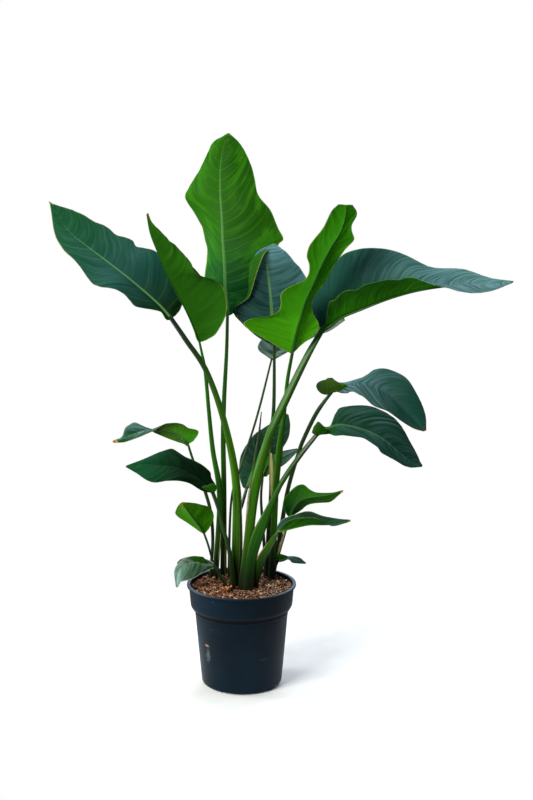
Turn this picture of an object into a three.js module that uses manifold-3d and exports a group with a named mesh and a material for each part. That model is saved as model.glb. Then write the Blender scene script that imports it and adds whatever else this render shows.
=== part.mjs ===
// A bird of paradise plant in a nursery pot.
// Millimetres, +Z up. The origin is the middle of the pot's base, and -Y is the front.
import * as THREE from "three";
import { mergeVertices } from "three/addons/utils/BufferGeometryUtils.js";
import Module from "manifold-3d";

const wasm = await Module();
wasm.setup();

// Driving dimensions of the pot.
const potTopDiameter = 240;
const potHeight = 229;
const lipHeight = 5;
const lipOverhang = 4.5;
const bandHeight = 48;
const bandTaper = 3.5;
const stepHeight = 15;
const bodyTopDiameter = 205;
const baseDiameter = 176;
const wall = 2.4;
const lipRound = 1.5;
const floorThickness = 3;
const footRadius = 9;
const ridgeHeight = 1.2;
const ridgeHalfWidth = 1.5;
const ridgeDrop = 8;
const drainSlots = 4;
const drainSlotWidth = 25;
const drainSlotHeight = 6;
const drainSlotTurn = -23.6;
const drainSlotReach = 15;
const potSides = 56;

// Driving dimensions of the soil.
const soilBelowRim = 9;
const soilRelief = 3.5;
const soilSides = 36;
const soilRings = 6;
const soilWallGap = 1;
const chipCount = 26;
const chipLength = 17;
const chipThickness = 5;
const chipLift = 0.6;
const chipTilt = 0.5;
const chipEdgeGap = 24;
const goldenTurn = 2.4;

// Driving dimensions of the plant.
const bladeThickness = 1.2;
const keelDepth = 2.6;
const keelHalfWidth = 4;
const keelShare = 0.3;
const bladeArch = 0.06;
const archPlace = 0.55;
const waveReach = 0.035;
const waveInside = 0.35;
const waveOffset = 2;
const stalkSides = 8;
const stepsPerRow = 1.5;
const stalkRunOn = 0.6;
const stalkEndShare = 0.5;

// Clear space left where two pieces meet.
const gap = 0.35;

// Radii and heights of the pot, worked out from the dimensions above.
const lipRadius = potTopDiameter / 2;
const bandRadius = lipRadius - lipOverhang;
const bandLow = potHeight - bandHeight;
const stepLow = bandLow - stepHeight;
const bodyRadius = bodyTopDiameter / 2;
const baseRadius = baseDiameter / 2;
const bodySlope = (bodyRadius - baseRadius) / stepLow;
const soilTop = potHeight - soilBelowRim;

// Colours by eye.
const colours = {
  pot: 0x1b2228,
  soil: 0x7a5a3c,
  teal: 0x3f6a5c,
  green: 0x5f9a2e,
  dark: 0x2f5540,
  spear: 0x6d8f3a,
};

// Each leaf holds the points of its stalk from the soil up, as x, y, z, width and depth, and
// the rows of its blade from the base to the tip: x, y, z of the midrib, then the reach from
// there to the left margin and to the right one, as seen on the upper face with the tip up.
const leaves = {
  leaf_left_tall: {
    colour: "teal",
    waves: 3,
    stalk: [
      [-12, 2, 165, 26, 14], [-13, 0, 222, 28, 14], [-8, -5, 330, 25, 13], [-12, -2, 465, 18, 12],
      [-37, 9, 591, 14, 10], [-75, 28, 697, 12, 9], [-119, 45, 762, 11, 8], [-151, 62, 806, 10, 6],
    ],
    blade: [
      [-151, 62, 806, -8, -7, -4, 18, 7, 15],
      [-182, 80, 837, -25, -24, -8, 60, 20, 34],
      [-233, 104, 878, -34, -37, -12, 62, 31, 57],
      [-286, 126, 917, -36, -44, -36, 55, 34, 44],
      [-338, 147, 953, -34, -37, -20, 53, 31, 33],
      [-384, 165, 989, -23, -20, -16, 40, 20, 27],
      [-428, 190, 1051, 2, 0, -4, 5, 0, -4],
    ],
  },
  leaf_left_folded: {
    colour: "green",
    waves: 3,
    stalk: [
      [-54, 60, 165, 16, 10], [-58, 70, 222, 16, 10], [-48, 67, 400, 14, 9], [-63, 56, 516, 11, 8],
      [-71, 48, 607, 9, 7], [-78, 38, 696, 8, 6], [-89, 25, 761, 6, 5],
    ],
    blade: [
      [-89, 25, 761, 12, -4, 3, 7, 5, 6],
      [-99, 19, 789, 54, -16, 1, 32, 18, 14],
      [-114, 9, 827, 88, -26, 6, 53, 29, 24],
      [-137, -6, 876, 97, -31, 13, 56, 34, 26],
      [-157, -21, 918, 66, -26, 3, 49, 31, 21],
      [-174, -36, 964, 46, -18, -3, 30, 23, 13],
      [-187, -51, 1003, 22, -8, -2, 17, 10, 8],
      [-193, -65, 1043, 5, 0, -2, 3, 3, 3],
    ],
  },
  leaf_top: {
    colour: "green",
    waves: 3,
    stalk: [
      [-42, 74, 165, 15, 11], [-42, 84, 222, 15, 11], [-40, 82, 416, 12, 10], [-41, 85, 532, 11, 9],
      [-39, 91, 617, 10, 8], [-33, 104, 728, 8, 7], [-31, 116, 805, 7, 6],
    ],
    blade: [
      [-31, 116, 805, -10, 0, -2, 10, 0, 2],
      [-36, 132, 860, -43, 8, 8, 54, -5, -19],
      [-38, 147, 913, -43, 29, 12, 96, -10, -10],
      [-42, 163, 968, -46, 44, 9, 130, -13, -6],
      [-44, 177, 1016, -59, 36, 3, 114, -13, 7],
      [-48, 194, 1075, -77, 18, -13, 83, -10, 1],
      [-47, 210, 1129, -48, 8, -11, 67, -5, 2],
      [-41, 221, 1168, -27, 3, 2, 42, 0, 4],
      [-30, 231, 1199, -4, 0, -2, 4, 0, -2],
    ],
  },
  leaf_middle: {
    colour: "teal",
    waves: 2,
    stalk: [
      [52, 60, 165, 12, 9], [55, 66, 222, 13, 10], [65, 66, 420, 11, 8], [64, 60, 528, 9, 8],
      [71, 54, 617, 8, 7], [72, 42, 750, 6, 5],
    ],
    // The left margin rolls over towards the midrib, so a third reach gives its edge.
    blade: [
      [72, 42, 750, -8, -2, 3, 8, 0, 2, -8, -4, 4],
      [69, 38, 785, -45, -8, -7, 41, 5, -10, -43, -13, -4],
      [66, 36, 823, -87, -14, 4, 68, 9, -12, -79, -21, 9],
      [63, 36, 860, -53, -16, 0, 82, 12, -6, -45, -25, 3],
      [59, 40, 898, -47, -16, 2, 85, 12, -10, -29, -28, 1],
      [56, 48, 931, -39, -12, -1, 73, 10, -12, -15, -26, 1],
      [58, 62, 956, -24, -6, -4, 47, 6, -14, -6, -18, -5],
      [69, 84, 967, -5, -2, -2, 9, 2, -3, -2, -5, -3],
    ],
  },
  leaf_front_bright: {
    colour: "green",
    waves: 4,
    stalk: [
      [60, 50, 165, 16, 11], [66, 54, 222, 17, 12], [75, 52, 420, 14, 10], [84, 42, 525, 15, 9],
      [93, 29, 600, 9, 8], [100, 11, 679, 8, 7], [110, -10, 743, 7, 6],
    ],
    blade: [
      [110, -10, 743, 6, 2, 2, -9, 2, 0],
      [120, -33, 794, 45, 12, 6, -108, 24, 9],
      [128, -46, 826, 26, 12, 6, -83, 24, -1],
      [135, -57, 855, 16, 12, 2, -53, 21, -1],
      [146, -68, 884, 18, 12, -4, -47, 21, 5],
      [156, -78, 908, 26, 15, -2, -26, 18, 4],
      [171, -93, 945, 30, 15, 2, -31, 18, 4],
      [189, -108, 982, 32, 15, -7, -39, 18, 6],
      [205, -119, 1010, 31, 12, -11, -34, 15, 11],
      [214, -130, 1039, 25, 9, 6, -28, 9, 11],
      [216, -140, 1068, 13, 4, 0, -16, 4, 1],
    ],
  },
  leaf_right_long: {
    colour: "teal",
    waves: 4,
    stalk: [
      [6, -12, 165, 26, 13], [8, -14, 222, 30, 14], [18, -12, 353, 22, 13], [30, -13, 455, 25, 13],
      [53, -12, 539, 19, 12], [73, -10, 591, 19, 12], [138, 2, 726, 15, 11], [175, 12, 791, 14, 10],
    ],
    blade: [
      [175, 12, 791, -26, 20, 26, 7, -9, 10],
      [211, -1, 819, -38, 29, 66, -20, -41, 37],
      [257, -18, 841, -33, 32, 109, -29, -57, 43],
      [309, -37, 864, -28, 36, 102, -29, -67, 45],
      [361, -57, 882, -19, 36, 74, -18, -62, 33],
      [415, -78, 894, -11, 30, 37, -20, -50, 12],
      [467, -100, 901, -6, 18, 30, -11, -30, -12],
      [515, -121, 904, -1, 9, 13, -8, -14, -13],
      [558, -140, 912, -1, 0, 2, -3, 0, -3],
    ],
  },
  leaf_behind_middle: {
    colour: "green",
    waves: 2,
    stalk: [
      [-28, 58, 165, 7, 6], [-30, 66, 222, 7, 6], [-24, 67, 393, 6, 6], [-6, 70, 463, 5, 5],
      [22, 74, 547, 5, 5], [41, 79, 612, 5, 5], [66, 88, 712, 5, 5],
    ],
    blade: [
      [66, 88, 712, -5, 0, 2, 4, 0, -2],
      [85, 95, 730, -49, 9, 10, 9, -6, -6],
      [120, 106, 753, -35, 12, 39, 15, -9, -6],
      [158, 116, 771, -24, 12, 43, 11, -9, -8],
      [193, 126, 783, -15, 9, 28, 4, -6, -11],
      [228, 135, 795, -1, 0, 3, 1, 0, -3],
    ],
  },
  leaf_right_upper: {
    colour: "teal",
    waves: 3,
    stalk: [
      [58, 68, 165, 11, 9], [64, 78, 222, 12, 10], [81, 80, 289, 11, 9], [101, 74, 416, 10, 9],
      [126, 62, 510, 10, 9], [140, 56, 549, 10, 8], [166, 44, 605, 10, 8], [198, 30, 653, 9, 7],
    ],
    blade: [
      [198, 30, 653, -22, 8, 26, -33, -8, 13],
      [208, 26, 659, -13, 12, 22, -28, -18, -10],
      [218, 22, 664, -10, 12, 11, -6, -22, -12],
      [239, 12, 671, 6, 14, 7, -3, -22, -16],
      [264, 0, 675, 7, 17, 21, -3, -22, -25],
      [293, -17, 669, 15, 20, 38, -9, -22, -36],
      [320, -36, 653, 30, 17, 39, -7, -20, -29],
      [345, -54, 630, 30, 11, 28, -5, -14, -23],
      [367, -69, 609, 24, 6, 12, -2, -8, -16],
      [388, -84, 589, 4, 0, 1, -2, 0, -1],
    ],
  },
  leaf_right_lower: {
    colour: "teal",
    waves: 3,
    stalk: [
      [13, -24, 165, 22, 11], [15, -26, 222, 24, 11], [23, -26, 296, 24, 10], [40, -24, 356, 26, 11],
      [76, -18, 437, 13, 10], [94, -14, 470, 12, 10], [127, -6, 517, 11, 9], [165, 2, 564, 10, 7],
    ],
    blade: [
      [165, 2, 564, -9, 6, 12, -1, -4, -6],
      [180, 7, 572, -8, 12, 15, 0, -12, -13],
      [192, 10, 577, 1, 6, 5, 0, -13, -15],
      [203, 13, 580, 3, 16, 33, 0, -14, -20],
      [224, 18, 580, -2, 18, 37, 0, -15, -20],
      [272, 32, 565, 12, 21, 50, -9, -15, -18],
      [313, 44, 541, 27, 18, 43, -13, -12, -16],
      [349, 57, 508, 21, 12, 23, -11, -9, -15],
      [377, 67, 485, 13, 6, 13, -7, -4, -10],
      [400, 74, 475, 1, 0, 2, -1, 0, -2],
    ],
  },
  leaf_left_twisted: {
    colour: "dark",
    waves: 2,
    stalk: [
      [-62, 58, 165, 9, 8], [-69, 66, 222, 9, 8], [-65, 76, 302, 8, 7], [-69, 80, 364, 8, 7],
      [-82, 85, 415, 8, 7], [-109, 94, 486, 6, 6], [-120, 98, 520, 6, 5],
    ],
    blade: [
      [-120, 98, 520, 12, -1, 5, -2, 1, -7],
      [-136, 104, 532, 34, -7, 13, 4, 7, -13],
      [-156, 114, 543, 21, -12, 21, -1, 14, -21],
      [-186, 128, 546, 10, -19, 15, -8, 22, -13],
      [-214, 141, 541, 14, -14, 0, -12, 17, 7],
      [-245, 157, 529, 11, -10, -9, -15, 12, 16],
      [-273, 173, 514, 9, -4, -6, -2, 5, 10],
      [-295, 185, 505, 2, 0, -2, -1, 0, 2],
    ],
  },
  leaf_left_dark: {
    colour: "dark",
    waves: 3,
    stalk: [
      [-16, -14, 165, 12, 9], [-18, -17, 222, 12, 9], [-20, -18, 262, 12, 9], [-27, -21, 314, 10, 9],
      [-39, -26, 361, 9, 8], [-49, -33, 408, 9, 8], [-61, -42, 446, 10, 7],
    ],
    blade: [
      [-61, -42, 446, -10, -5, -1, 9, 5, 10],
      [-81, -51, 468, -17, -16, -6, 17, 13, 14],
      [-108, -64, 490, -14, -21, -10, 15, 16, 22],
      [-139, -77, 508, -15, -23, -21, 6, 18, 31],
      [-174, -90, 515, -11, -21, -26, 8, 16, 25],
      [-208, -101, 520, -8, -10, -17, 4, 8, 10],
      [-241, -111, 519, 1, 0, -2, 2, 0, 2],
    ],
  },
  leaf_left_small: {
    colour: "green",
    waves: 1,
    stalk: [
      [-52, 48, 165, 6, 5], [-56, 53, 222, 6, 5], [-65, 52, 261, 5, 5], [-74, 48, 299, 5, 5],
      [-83, 42, 329, 5, 4],
    ],
    blade: [
      [-83, 42, 329, 8, 2, 5, -5, 2, 0],
      [-94, 32, 350, 33, 12, 15, -22, 12, 1],
      [-108, 20, 373, 38, 15, 17, -36, 15, 2],
      [-121, 7, 395, 20, 9, 10, -20, 9, 0],
      [-130, -4, 412, 3, 0, 1, -3, 0, -2],
    ],
  },
  leaf_rim_left: {
    colour: "teal",
    waves: 2,
    stalk: [
      [-34, 6, 165, 9, 8], [-36, 6, 222, 9, 8], [-45, 4, 241, 8, 7], [-60, 2, 267, 7, 5],
    ],
    blade: [
      [-60, 2, 267, -2, -3, -4, 0, 3, 6],
      [-82, -9, 274, -4, -12, -17, 2, 12, 9],
      [-105, -21, 281, -4, -16, -32, 2, 16, 7],
      [-127, -33, 277, -2, -16, -30, 2, 14, 13],
      [-139, -44, 260, 7, -8, -15, -6, 8, 11],
      [-140, -55, 236, 3, 0, 0, -2, 0, 3],
    ],
  },
  leaf_right_green: {
    colour: "green",
    waves: 2,
    stalk: [
      [58, 56, 165, 8, 7], [70, 66, 222, 8, 7], [78, 62, 263, 8, 7], [92, 54, 315, 7, 6],
      [106, 46, 366, 6, 5],
    ],
    blade: [
      [106, 46, 366, 6, 2, 2, -6, 2, 2],
      [114, 37, 389, 18, 10, -8, -21, 13, 11],
      [131, 26, 410, 13, 13, -17, -9, 16, 28],
      [154, 13, 420, 7, 10, -16, -7, 13, 19],
      [185, -3, 428, 5, 6, -15, -4, 6, 5],
      [221, -23, 443, -2, 0, -3, -1, 0, 2],
    ],
  },
  leaf_right_low: {
    colour: "dark",
    waves: 3,
    stalk: [
      [25, -10, 165, 16, 10], [28, -12, 222, 17, 10], [36, -21, 264, 20, 9], [45, -24, 294, 20, 9],
      [67, -30, 333, 14, 8], [80, -36, 358, 11, 6],
    ],
    blade: [
      [80, -36, 358, -4, 5, 6, 6, -5, 7],
      [97, -43, 363, -6, 14, 19, 2, -14, 20],
      [121, -54, 372, -2, 18, 23, 2, -20, 24],
      [148, -69, 381, 0, 20, 24, 1, -22, 22],
      [175, -85, 385, 3, 14, 15, -1, -18, 14],
      [202, -103, 391, 5, 8, 10, -7, -10, -1],
      [232, -125, 404, 0, 0, 3, -2, 0, -2],
    ],
  },
  leaf_rim_right: {
    colour: "green",
    waves: 1,
    stalk: [
      [62, 72, 165, 6, 5], [71, 76, 222, 6, 5], [74, 68, 243, 6, 5], [81, 60, 260, 5, 4],
    ],
    blade: [
      [81, 60, 260, -9, 3, 10, 2, -2, -2],
      [99, 69, 265, -7, 7, 7, 2, -6, -5],
      [119, 79, 258, 5, 6, 5, -5, -5, -6],
      [144, 95, 245, -1, 0, 2, -2, 0, -2],
    ],
  },
  leaf_centre_back: {
    colour: "dark",
    waves: 2,
    stalk: [
      [-20, 78, 165, 9, 8], [-20, 88, 222, 9, 8], [-11, 95, 341, 8, 7], [0, 99, 380, 8, 7],
      [10, 106, 414, 7, 5],
    ],
    blade: [
      [10, 106, 414, -8, 2, 2, 8, -2, 3],
      [23, 126, 449, -29, 8, -11, 27, -6, 1],
      [41, 150, 483, -46, 12, -7, 36, -9, -4],
      [63, 177, 516, -39, 9, 2, 39, -9, -5],
      [84, 201, 541, -21, 4, 2, 25, -4, -4],
      [102, 222, 563, -4, 0, 1, 4, 0, -3],
    ],
  },
  leaf_centre_small: {
    colour: "green",
    waves: 1,
    stalk: [
      [48, 68, 165, 8, 7], [52, 82, 222, 8, 7], [49, 84, 302, 7, 6], [43, 84, 395, 6, 6],
      [47, 82, 450, 5, 5],
    ],
    blade: [
      [47, 82, 450, 7, 2, -3, -4, 2, 4],
      [56, 87, 470, 11, 4, -12, -7, 6, 17],
      [74, 92, 482, 11, 6, -16, -2, 6, 15],
      [96, 98, 491, 7, 4, -12, 0, 4, 13],
      [125, 106, 505, 1, 0, -3, -1, 0, 3],
    ],
  },
  spear_new_leaf: {
    colour: "spear",
    stalk: [
      [4, 6, 165, 10, 9], [6, 6, 222, 10, 9], [12, 5, 314, 9, 8], [21, 4, 416, 8, 7],
      [29, 3, 501, 8, 6], [37, 2, 550, 6, 5], [44, 0, 613, 2.2, 2],
    ],
  },
};

// Seeded random numbers from 0 to 1.
function makeRandom(seed) {
  let state = seed;
  return () => {
    state = (state * 1664525 + 1013904223) % 4294967296;
    return state / 4294967296;
  };
}

// A closed geometry as a solid that can be joined and cut.
function toSolid(geometry) {
  const bare = geometry.clone();
  bare.deleteAttribute("normal");
  bare.deleteAttribute("uv");
  const merged = mergeVertices(bare, 1e-4);
  return new wasm.Manifold(new wasm.Mesh({
    numProp: 3,
    vertProperties: new Float32Array(merged.attributes.position.array),
    triVerts: new Uint32Array(merged.index.array),
  }));
}

// The largest body of a solid, without the crumbs that a cut can leave.
function largestBody(solid) {
  const bodies = solid.decompose();
  return bodies.reduce((best, body) => (body.volume() > best.volume() ? body : best));
}

// A solid back as a geometry.
function toGeometry(solid) {
  const mesh = solid.getMesh();
  const geometry = new THREE.BufferGeometry();
  geometry.setAttribute("position", new THREE.BufferAttribute(mesh.vertProperties, 3));
  geometry.setIndex(new THREE.BufferAttribute(mesh.triVerts, 1));
  geometry.computeVertexNormals();
  return geometry;
}

function toMesh(name, geometry, colour, roughness) {
  const material = new THREE.MeshStandardMaterial({
    color: colours[colour],
    roughness: roughness,
    metalness: 0,
  });
  const mesh = new THREE.Mesh(geometry, material);
  mesh.name = name;
  return mesh;
}

// A smooth curve through points, at even steps of its own parameter.
function curveThrough(points) {
  return new THREE.CatmullRomCurve3(points, false, "catmullrom", 0.5);
}

// A closed geometry from rings of points, each ring in the same turn, with flat ends.
function closedFromRings(rings) {
  const count = rings[0].length;
  const positions = rings.flat().flatMap((point) => [point.x, point.y, point.z]);
  const faces = [];
  for (let row = 0; row < rings.length - 1; row += 1) {
    for (let side = 0; side < count; side += 1) {
      const next = (side + 1) % count;
      const a = row * count + side;
      const b = row * count + next;
      faces.push(a, b, b + count, a, b + count, a + count);
    }
  }
  const last = (rings.length - 1) * count;
  for (let side = 1; side < count - 1; side += 1) {
    faces.push(0, side + 1, side);
    faces.push(last, last + side, last + side + 1);
  }
  const geometry = new THREE.BufferGeometry();
  geometry.setAttribute("position", new THREE.Float32BufferAttribute(positions, 3));
  geometry.setIndex(faces);
  return geometry;
}

// A leaf stalk: an oval tube through its points, made larger all round by grow.
function makeStalk(rows, grow) {
  const path = curveThrough(rows.map((row) => new THREE.Vector3(row[0], row[1], row[2])));
  const sizes = curveThrough(rows.map((row) => new THREE.Vector3(row[3], row[4], 0)));
  const steps = Math.ceil((rows.length - 1) * stepsPerRow);
  const rings = [];
  for (let step = 0; step <= steps; step += 1) {
    const along = step / steps;
    const middle = path.getPoint(along);
    const size = sizes.getPoint(along);
    const tangent = path.getTangent(along);
    const sideways = new THREE.Vector3(0, 1, 0).cross(tangent).normalize();
    const inward = tangent.clone().cross(sideways).normalize();
    const ring = [];
    for (let side = 0; side < stalkSides; side += 1) {
      const turn = ((side + 0.5) / stalkSides) * 2 * Math.PI;
      ring.push(middle.clone()
        .addScaledVector(sideways, Math.cos(turn) * (size.x / 2 + grow))
        .addScaledVector(inward, Math.sin(turn) * (size.y / 2 + grow)));
    }
    rings.push(ring);
  }
  return closedFromRings(rings);
}

// One half of a blade at one station: points from the midrib out to the margin.
function halfBlade(rib, tangent, reach, rolled, wave, side) {
  const normal = reach.clone().cross(tangent).multiplyScalar(side).normalize();
  const width = reach.length();
  const inner = Math.min(keelHalfWidth / width, keelShare);
  const points = [rib.clone().addScaledVector(reach, inner)];
  const middle = rib.clone().addScaledVector(reach, archPlace);
  middle.addScaledVector(normal, width * (bladeArch + wave * waveInside));
  points.push(middle);
  const outer = rib.clone().add(reach);
  outer.addScaledVector(normal, width * wave);
  points.push(outer);
  if (rolled) {
    points.push(rib.clone().add(rolled));
  }
  return points;
}

// The grid of a blade's middle surface: a row of points from margin to margin per station.
function bladeGrid(rows, waves) {
  const pick = (start) => curveThrough(rows.map(
    (row) => new THREE.Vector3(row[start], row[start + 1], row[start + 2]),
  ));
  const ribCurve = pick(0);
  const leftCurve = pick(3);
  const rightCurve = pick(6);
  const rolledCurve = rows[0].length > 9 ? pick(9) : null;
  const steps = Math.ceil((rows.length - 1) * stepsPerRow);
  const grid = [];
  for (let step = 0; step <= steps; step += 1) {
    const along = step / steps;
    const rib = ribCurve.getPoint(along);
    const tangent = ribCurve.getTangent(along);
    const fade = Math.sin(Math.PI * along);
    const leftWave = waveReach * fade * Math.sin(2 * Math.PI * waves * along);
    const rightWave = waveReach * fade * Math.sin(2 * Math.PI * waves * along + waveOffset);
    const rolled = rolledCurve ? rolledCurve.getPoint(along) : null;
    const left = halfBlade(rib, tangent, leftCurve.getPoint(along), rolled, leftWave, -1);
    const right = halfBlade(rib, tangent, rightCurve.getPoint(along), null, rightWave, 1);
    grid.push([...left.reverse(), rib, ...right]);
  }
  return { grid, ribColumn: rolledCurve ? 4 : 3 };
}

// Normals of a grid of points, towards the leaf's upper face.
function gridNormals(grid) {
  const columns = grid[0].length;
  return grid.map((row, i) => row.map((point, j) => {
    const before = grid[Math.max(i - 1, 0)][j];
    const after = grid[Math.min(i + 1, grid.length - 1)][j];
    const left = row[Math.max(j - 1, 0)];
    const right = row[Math.min(j + 1, columns - 1)];
    const across = right.clone().sub(left);
    return across.cross(after.clone().sub(before)).normalize();
  }));
}

// A thin closed blade around its middle surface, with the keel of the midrib underneath.
function makeBlade(leaf) {
  const { grid, ribColumn } = bladeGrid(leaf.blade, leaf.waves);
  const normals = gridNormals(grid);
  const columns = grid[0].length;
  const positions = [];
  const half = bladeThickness / 2;
  for (const face of [1, -1]) {
    grid.forEach((row, i) => row.forEach((point, j) => {
      const taper = 1 - i / (grid.length - 1);
      const keel = face < 0 && j === ribColumn ? keelDepth * taper : 0;
      const moved = point.clone().addScaledVector(normals[i][j], face * (half + keel));
      positions.push(moved.x, moved.y, moved.z);
    }));
  }
  const below = grid.length * columns;
  const faces = [];
  for (let i = 0; i < grid.length - 1; i += 1) {
    for (let j = 0; j < columns - 1; j += 1) {
      const a = i * columns + j;
      const b = a + 1;
      const c = a + columns;
      const d = c + 1;
      faces.push(a, b, d, a, d, c);
      faces.push(below + a, below + d, below + b, below + a, below + c, below + d);
    }
  }
  const rim = [];
  for (let j = 0; j < columns; j += 1) {
    rim.push(j);
  }
  for (let i = 1; i < grid.length; i += 1) {
    rim.push(i * columns + columns - 1);
  }
  for (let j = columns - 2; j >= 0; j -= 1) {
    rim.push((grid.length - 1) * columns + j);
  }
  for (let i = grid.length - 2; i > 0; i -= 1) {
    rim.push(i * columns);
  }
  rim.forEach((a, k) => {
    const b = rim[(k + 1) % rim.length];
    faces.push(a, below + a, b, b, below + a, below + b);
  });
  const geometry = new THREE.BufferGeometry();
  geometry.setAttribute("position", new THREE.Float32BufferAttribute(positions, 3));
  geometry.setIndex(faces);
  return geometry;
}

// The stalk's rows, run on a little way under the blade so that the two grow together.
function stalkRows(leaf) {
  if (!leaf.blade) {
    return leaf.stalk;
  }
  const [first, second] = leaf.blade;
  const end = leaf.stalk[leaf.stalk.length - 1];
  const onward = [0, 1, 2].map((k) => first[k] + (second[k] - first[k]) * stalkRunOn);
  return [...leaf.stalk, [...onward, end[3] * stalkEndShare, end[4] * stalkEndShare]];
}

function makeLeaf(leaf) {
  const stalk = toSolid(makeStalk(stalkRows(leaf), 0));
  return leaf.blade ? stalk.add(toSolid(makeBlade(leaf))) : stalk;
}

// The pot's outside in section, as radius and height from the base up and over the lip.
function outerWall() {
  const ridge = stepLow - ridgeDrop;
  const radiusAt = (z) => baseRadius + bodySlope * z;
  return [
    [0, 0],
    [baseRadius - footRadius, 0],
    [baseRadius - footRadius * 0.3, footRadius * 0.3],
    [radiusAt(footRadius), footRadius],
    [radiusAt(ridge - ridgeHalfWidth), ridge - ridgeHalfWidth],
    [radiusAt(ridge) + ridgeHeight, ridge],
    [radiusAt(ridge + ridgeHalfWidth), ridge + ridgeHalfWidth],
    [bodyRadius, stepLow],
    [bandRadius - bandTaper, bandLow],
    [bandRadius, potHeight - lipHeight],
    [lipRadius - lipRound, potHeight - lipHeight],
    [lipRadius, potHeight - lipHeight + lipRound],
    [lipRadius, potHeight - lipRound],
    [lipRadius - lipRound, potHeight],
  ];
}

// The pot's inside in section, as radius and height from the rim down to the floor.
function innerWall() {
  return [
    [bandRadius - wall + lipRound / 2, potHeight],
    [bandRadius - wall, potHeight - lipRound],
    [bandRadius - bandTaper - wall, bandLow],
    [bodyRadius - wall, stepLow],
    [baseRadius + bodySlope * footRadius - wall, footRadius],
    [baseRadius - footRadius * 0.3 - wall, floorThickness],
    [0, floorThickness],
  ];
}

// A turned solid, stood up along +Z.
function lathe(profile, sides) {
  return new THREE.LatheGeometry(profile, sides).rotateX(Math.PI / 2);
}

function makePot() {
  const profile = [...outerWall(), ...innerWall()].map(([r, z]) => new THREE.Vector2(r, z));
  let pot = toSolid(lathe(profile, potSides));
  for (let slot = 0; slot < drainSlots; slot += 1) {
    const turn = THREE.MathUtils.degToRad(drainSlotTurn - 90 + (slot * 360) / drainSlots);
    const cutter = new THREE.BoxGeometry(drainSlotReach * 2, drainSlotWidth, drainSlotHeight * 2);
    cutter.translate(baseRadius, 0, 0);
    cutter.rotateZ(turn);
    pot = pot.subtract(toSolid(cutter));
  }
  return pot;
}

// Height of the soil's lumps at a place, from a few crossed waves.
function soilHeight(x, y) {
  const lumps = Math.sin(x * 0.11 + 1.3) * Math.cos(y * 0.13 - 0.4);
  const grit = Math.sin(x * 0.31 + y * 0.23) * Math.cos(x * 0.19 - y * 0.37 + 2);
  return soilRelief * (0.6 * lumps + 0.4 * grit);
}

// A ring of the soil's points at a radius, on the lumpy top or at a given height.
function soilRing(radius, z) {
  const ring = [];
  for (let side = 0; side < soilSides; side += 1) {
    const turn = (side / soilSides) * 2 * Math.PI;
    const x = Math.cos(turn) * radius;
    const y = Math.sin(turn) * radius;
    ring.push(new THREE.Vector3(x, y, z ?? soilTop + soilHeight(x, y)));
  }
  return ring;
}

// The soil's body: the pot's filling, from just over the floor up to a lumpy top.
function makeSoilBody() {
  const floor = floorThickness + gap;
  const side = innerWall().slice(2, -1).reverse();
  const rings = side.map(([radius, z]) => soilRing(radius - soilWallGap, Math.max(z, floor)));
  const edge = bandRadius - wall - soilWallGap - bandTaper * (soilBelowRim / bandHeight);
  for (let ring = 0; ring < soilRings; ring += 1) {
    rings.push(soilRing(edge * (1 - ring / soilRings)));
  }
  rings.push(soilRing(1));
  return toSolid(closedFromRings(rings));
}

// Bark chips, half sunk in the soil, set out on a spiral.
function addChips(soil) {
  const random = makeRandom(7);
  const reach = lipRadius - chipEdgeGap;
  let result = soil;
  for (let chip = 0; chip < chipCount; chip += 1) {
    const radius = reach * Math.sqrt((chip + 0.5) / chipCount);
    const turn = chip * goldenTurn + random() * 0.3;
    const x = Math.cos(turn) * radius;
    const y = Math.sin(turn) * radius;
    const length = chipLength * (0.6 + 0.6 * random());
    const piece = new THREE.BoxGeometry(length, length * 0.6, chipThickness);
    piece.rotateX((random() - 0.5) * chipTilt);
    piece.rotateY((random() - 0.5) * chipTilt);
    piece.rotateZ(random() * Math.PI);
    piece.translate(x, y, soilTop + soilHeight(x, y) + chipLift);
    result = result.add(toSolid(piece));
  }
  return result;
}

function makeSoil(grownStalks) {
  let soil = addChips(makeSoilBody());
  for (const stalk of grownStalks) {
    soil = soil.subtract(stalk);
  }
  return largestBody(soil);
}

const plant = new THREE.Group();
plant.add(toMesh("pot", toGeometry(makePot()), "pot", 0.45));

// Each leaf is fitted around the stalks already there, so leaf bases clasp one another.
const grownStalks = [];
for (const [name, leaf] of Object.entries(leaves)) {
  let solid = makeLeaf(leaf);
  for (const neighbour of grownStalks) {
    solid = solid.subtract(neighbour);
  }
  grownStalks.push(toSolid(makeStalk(stalkRows(leaf), gap)));
  plant.add(toMesh(name, toGeometry(largestBody(solid)), leaf.colour, 0.5));
}

plant.add(toMesh("soil", toGeometry(makeSoil(grownStalks)), "soil", 0.9));

export default plant;
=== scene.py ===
import math
import random

import bpy
import numpy as np
from mathutils import Matrix, Vector


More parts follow.
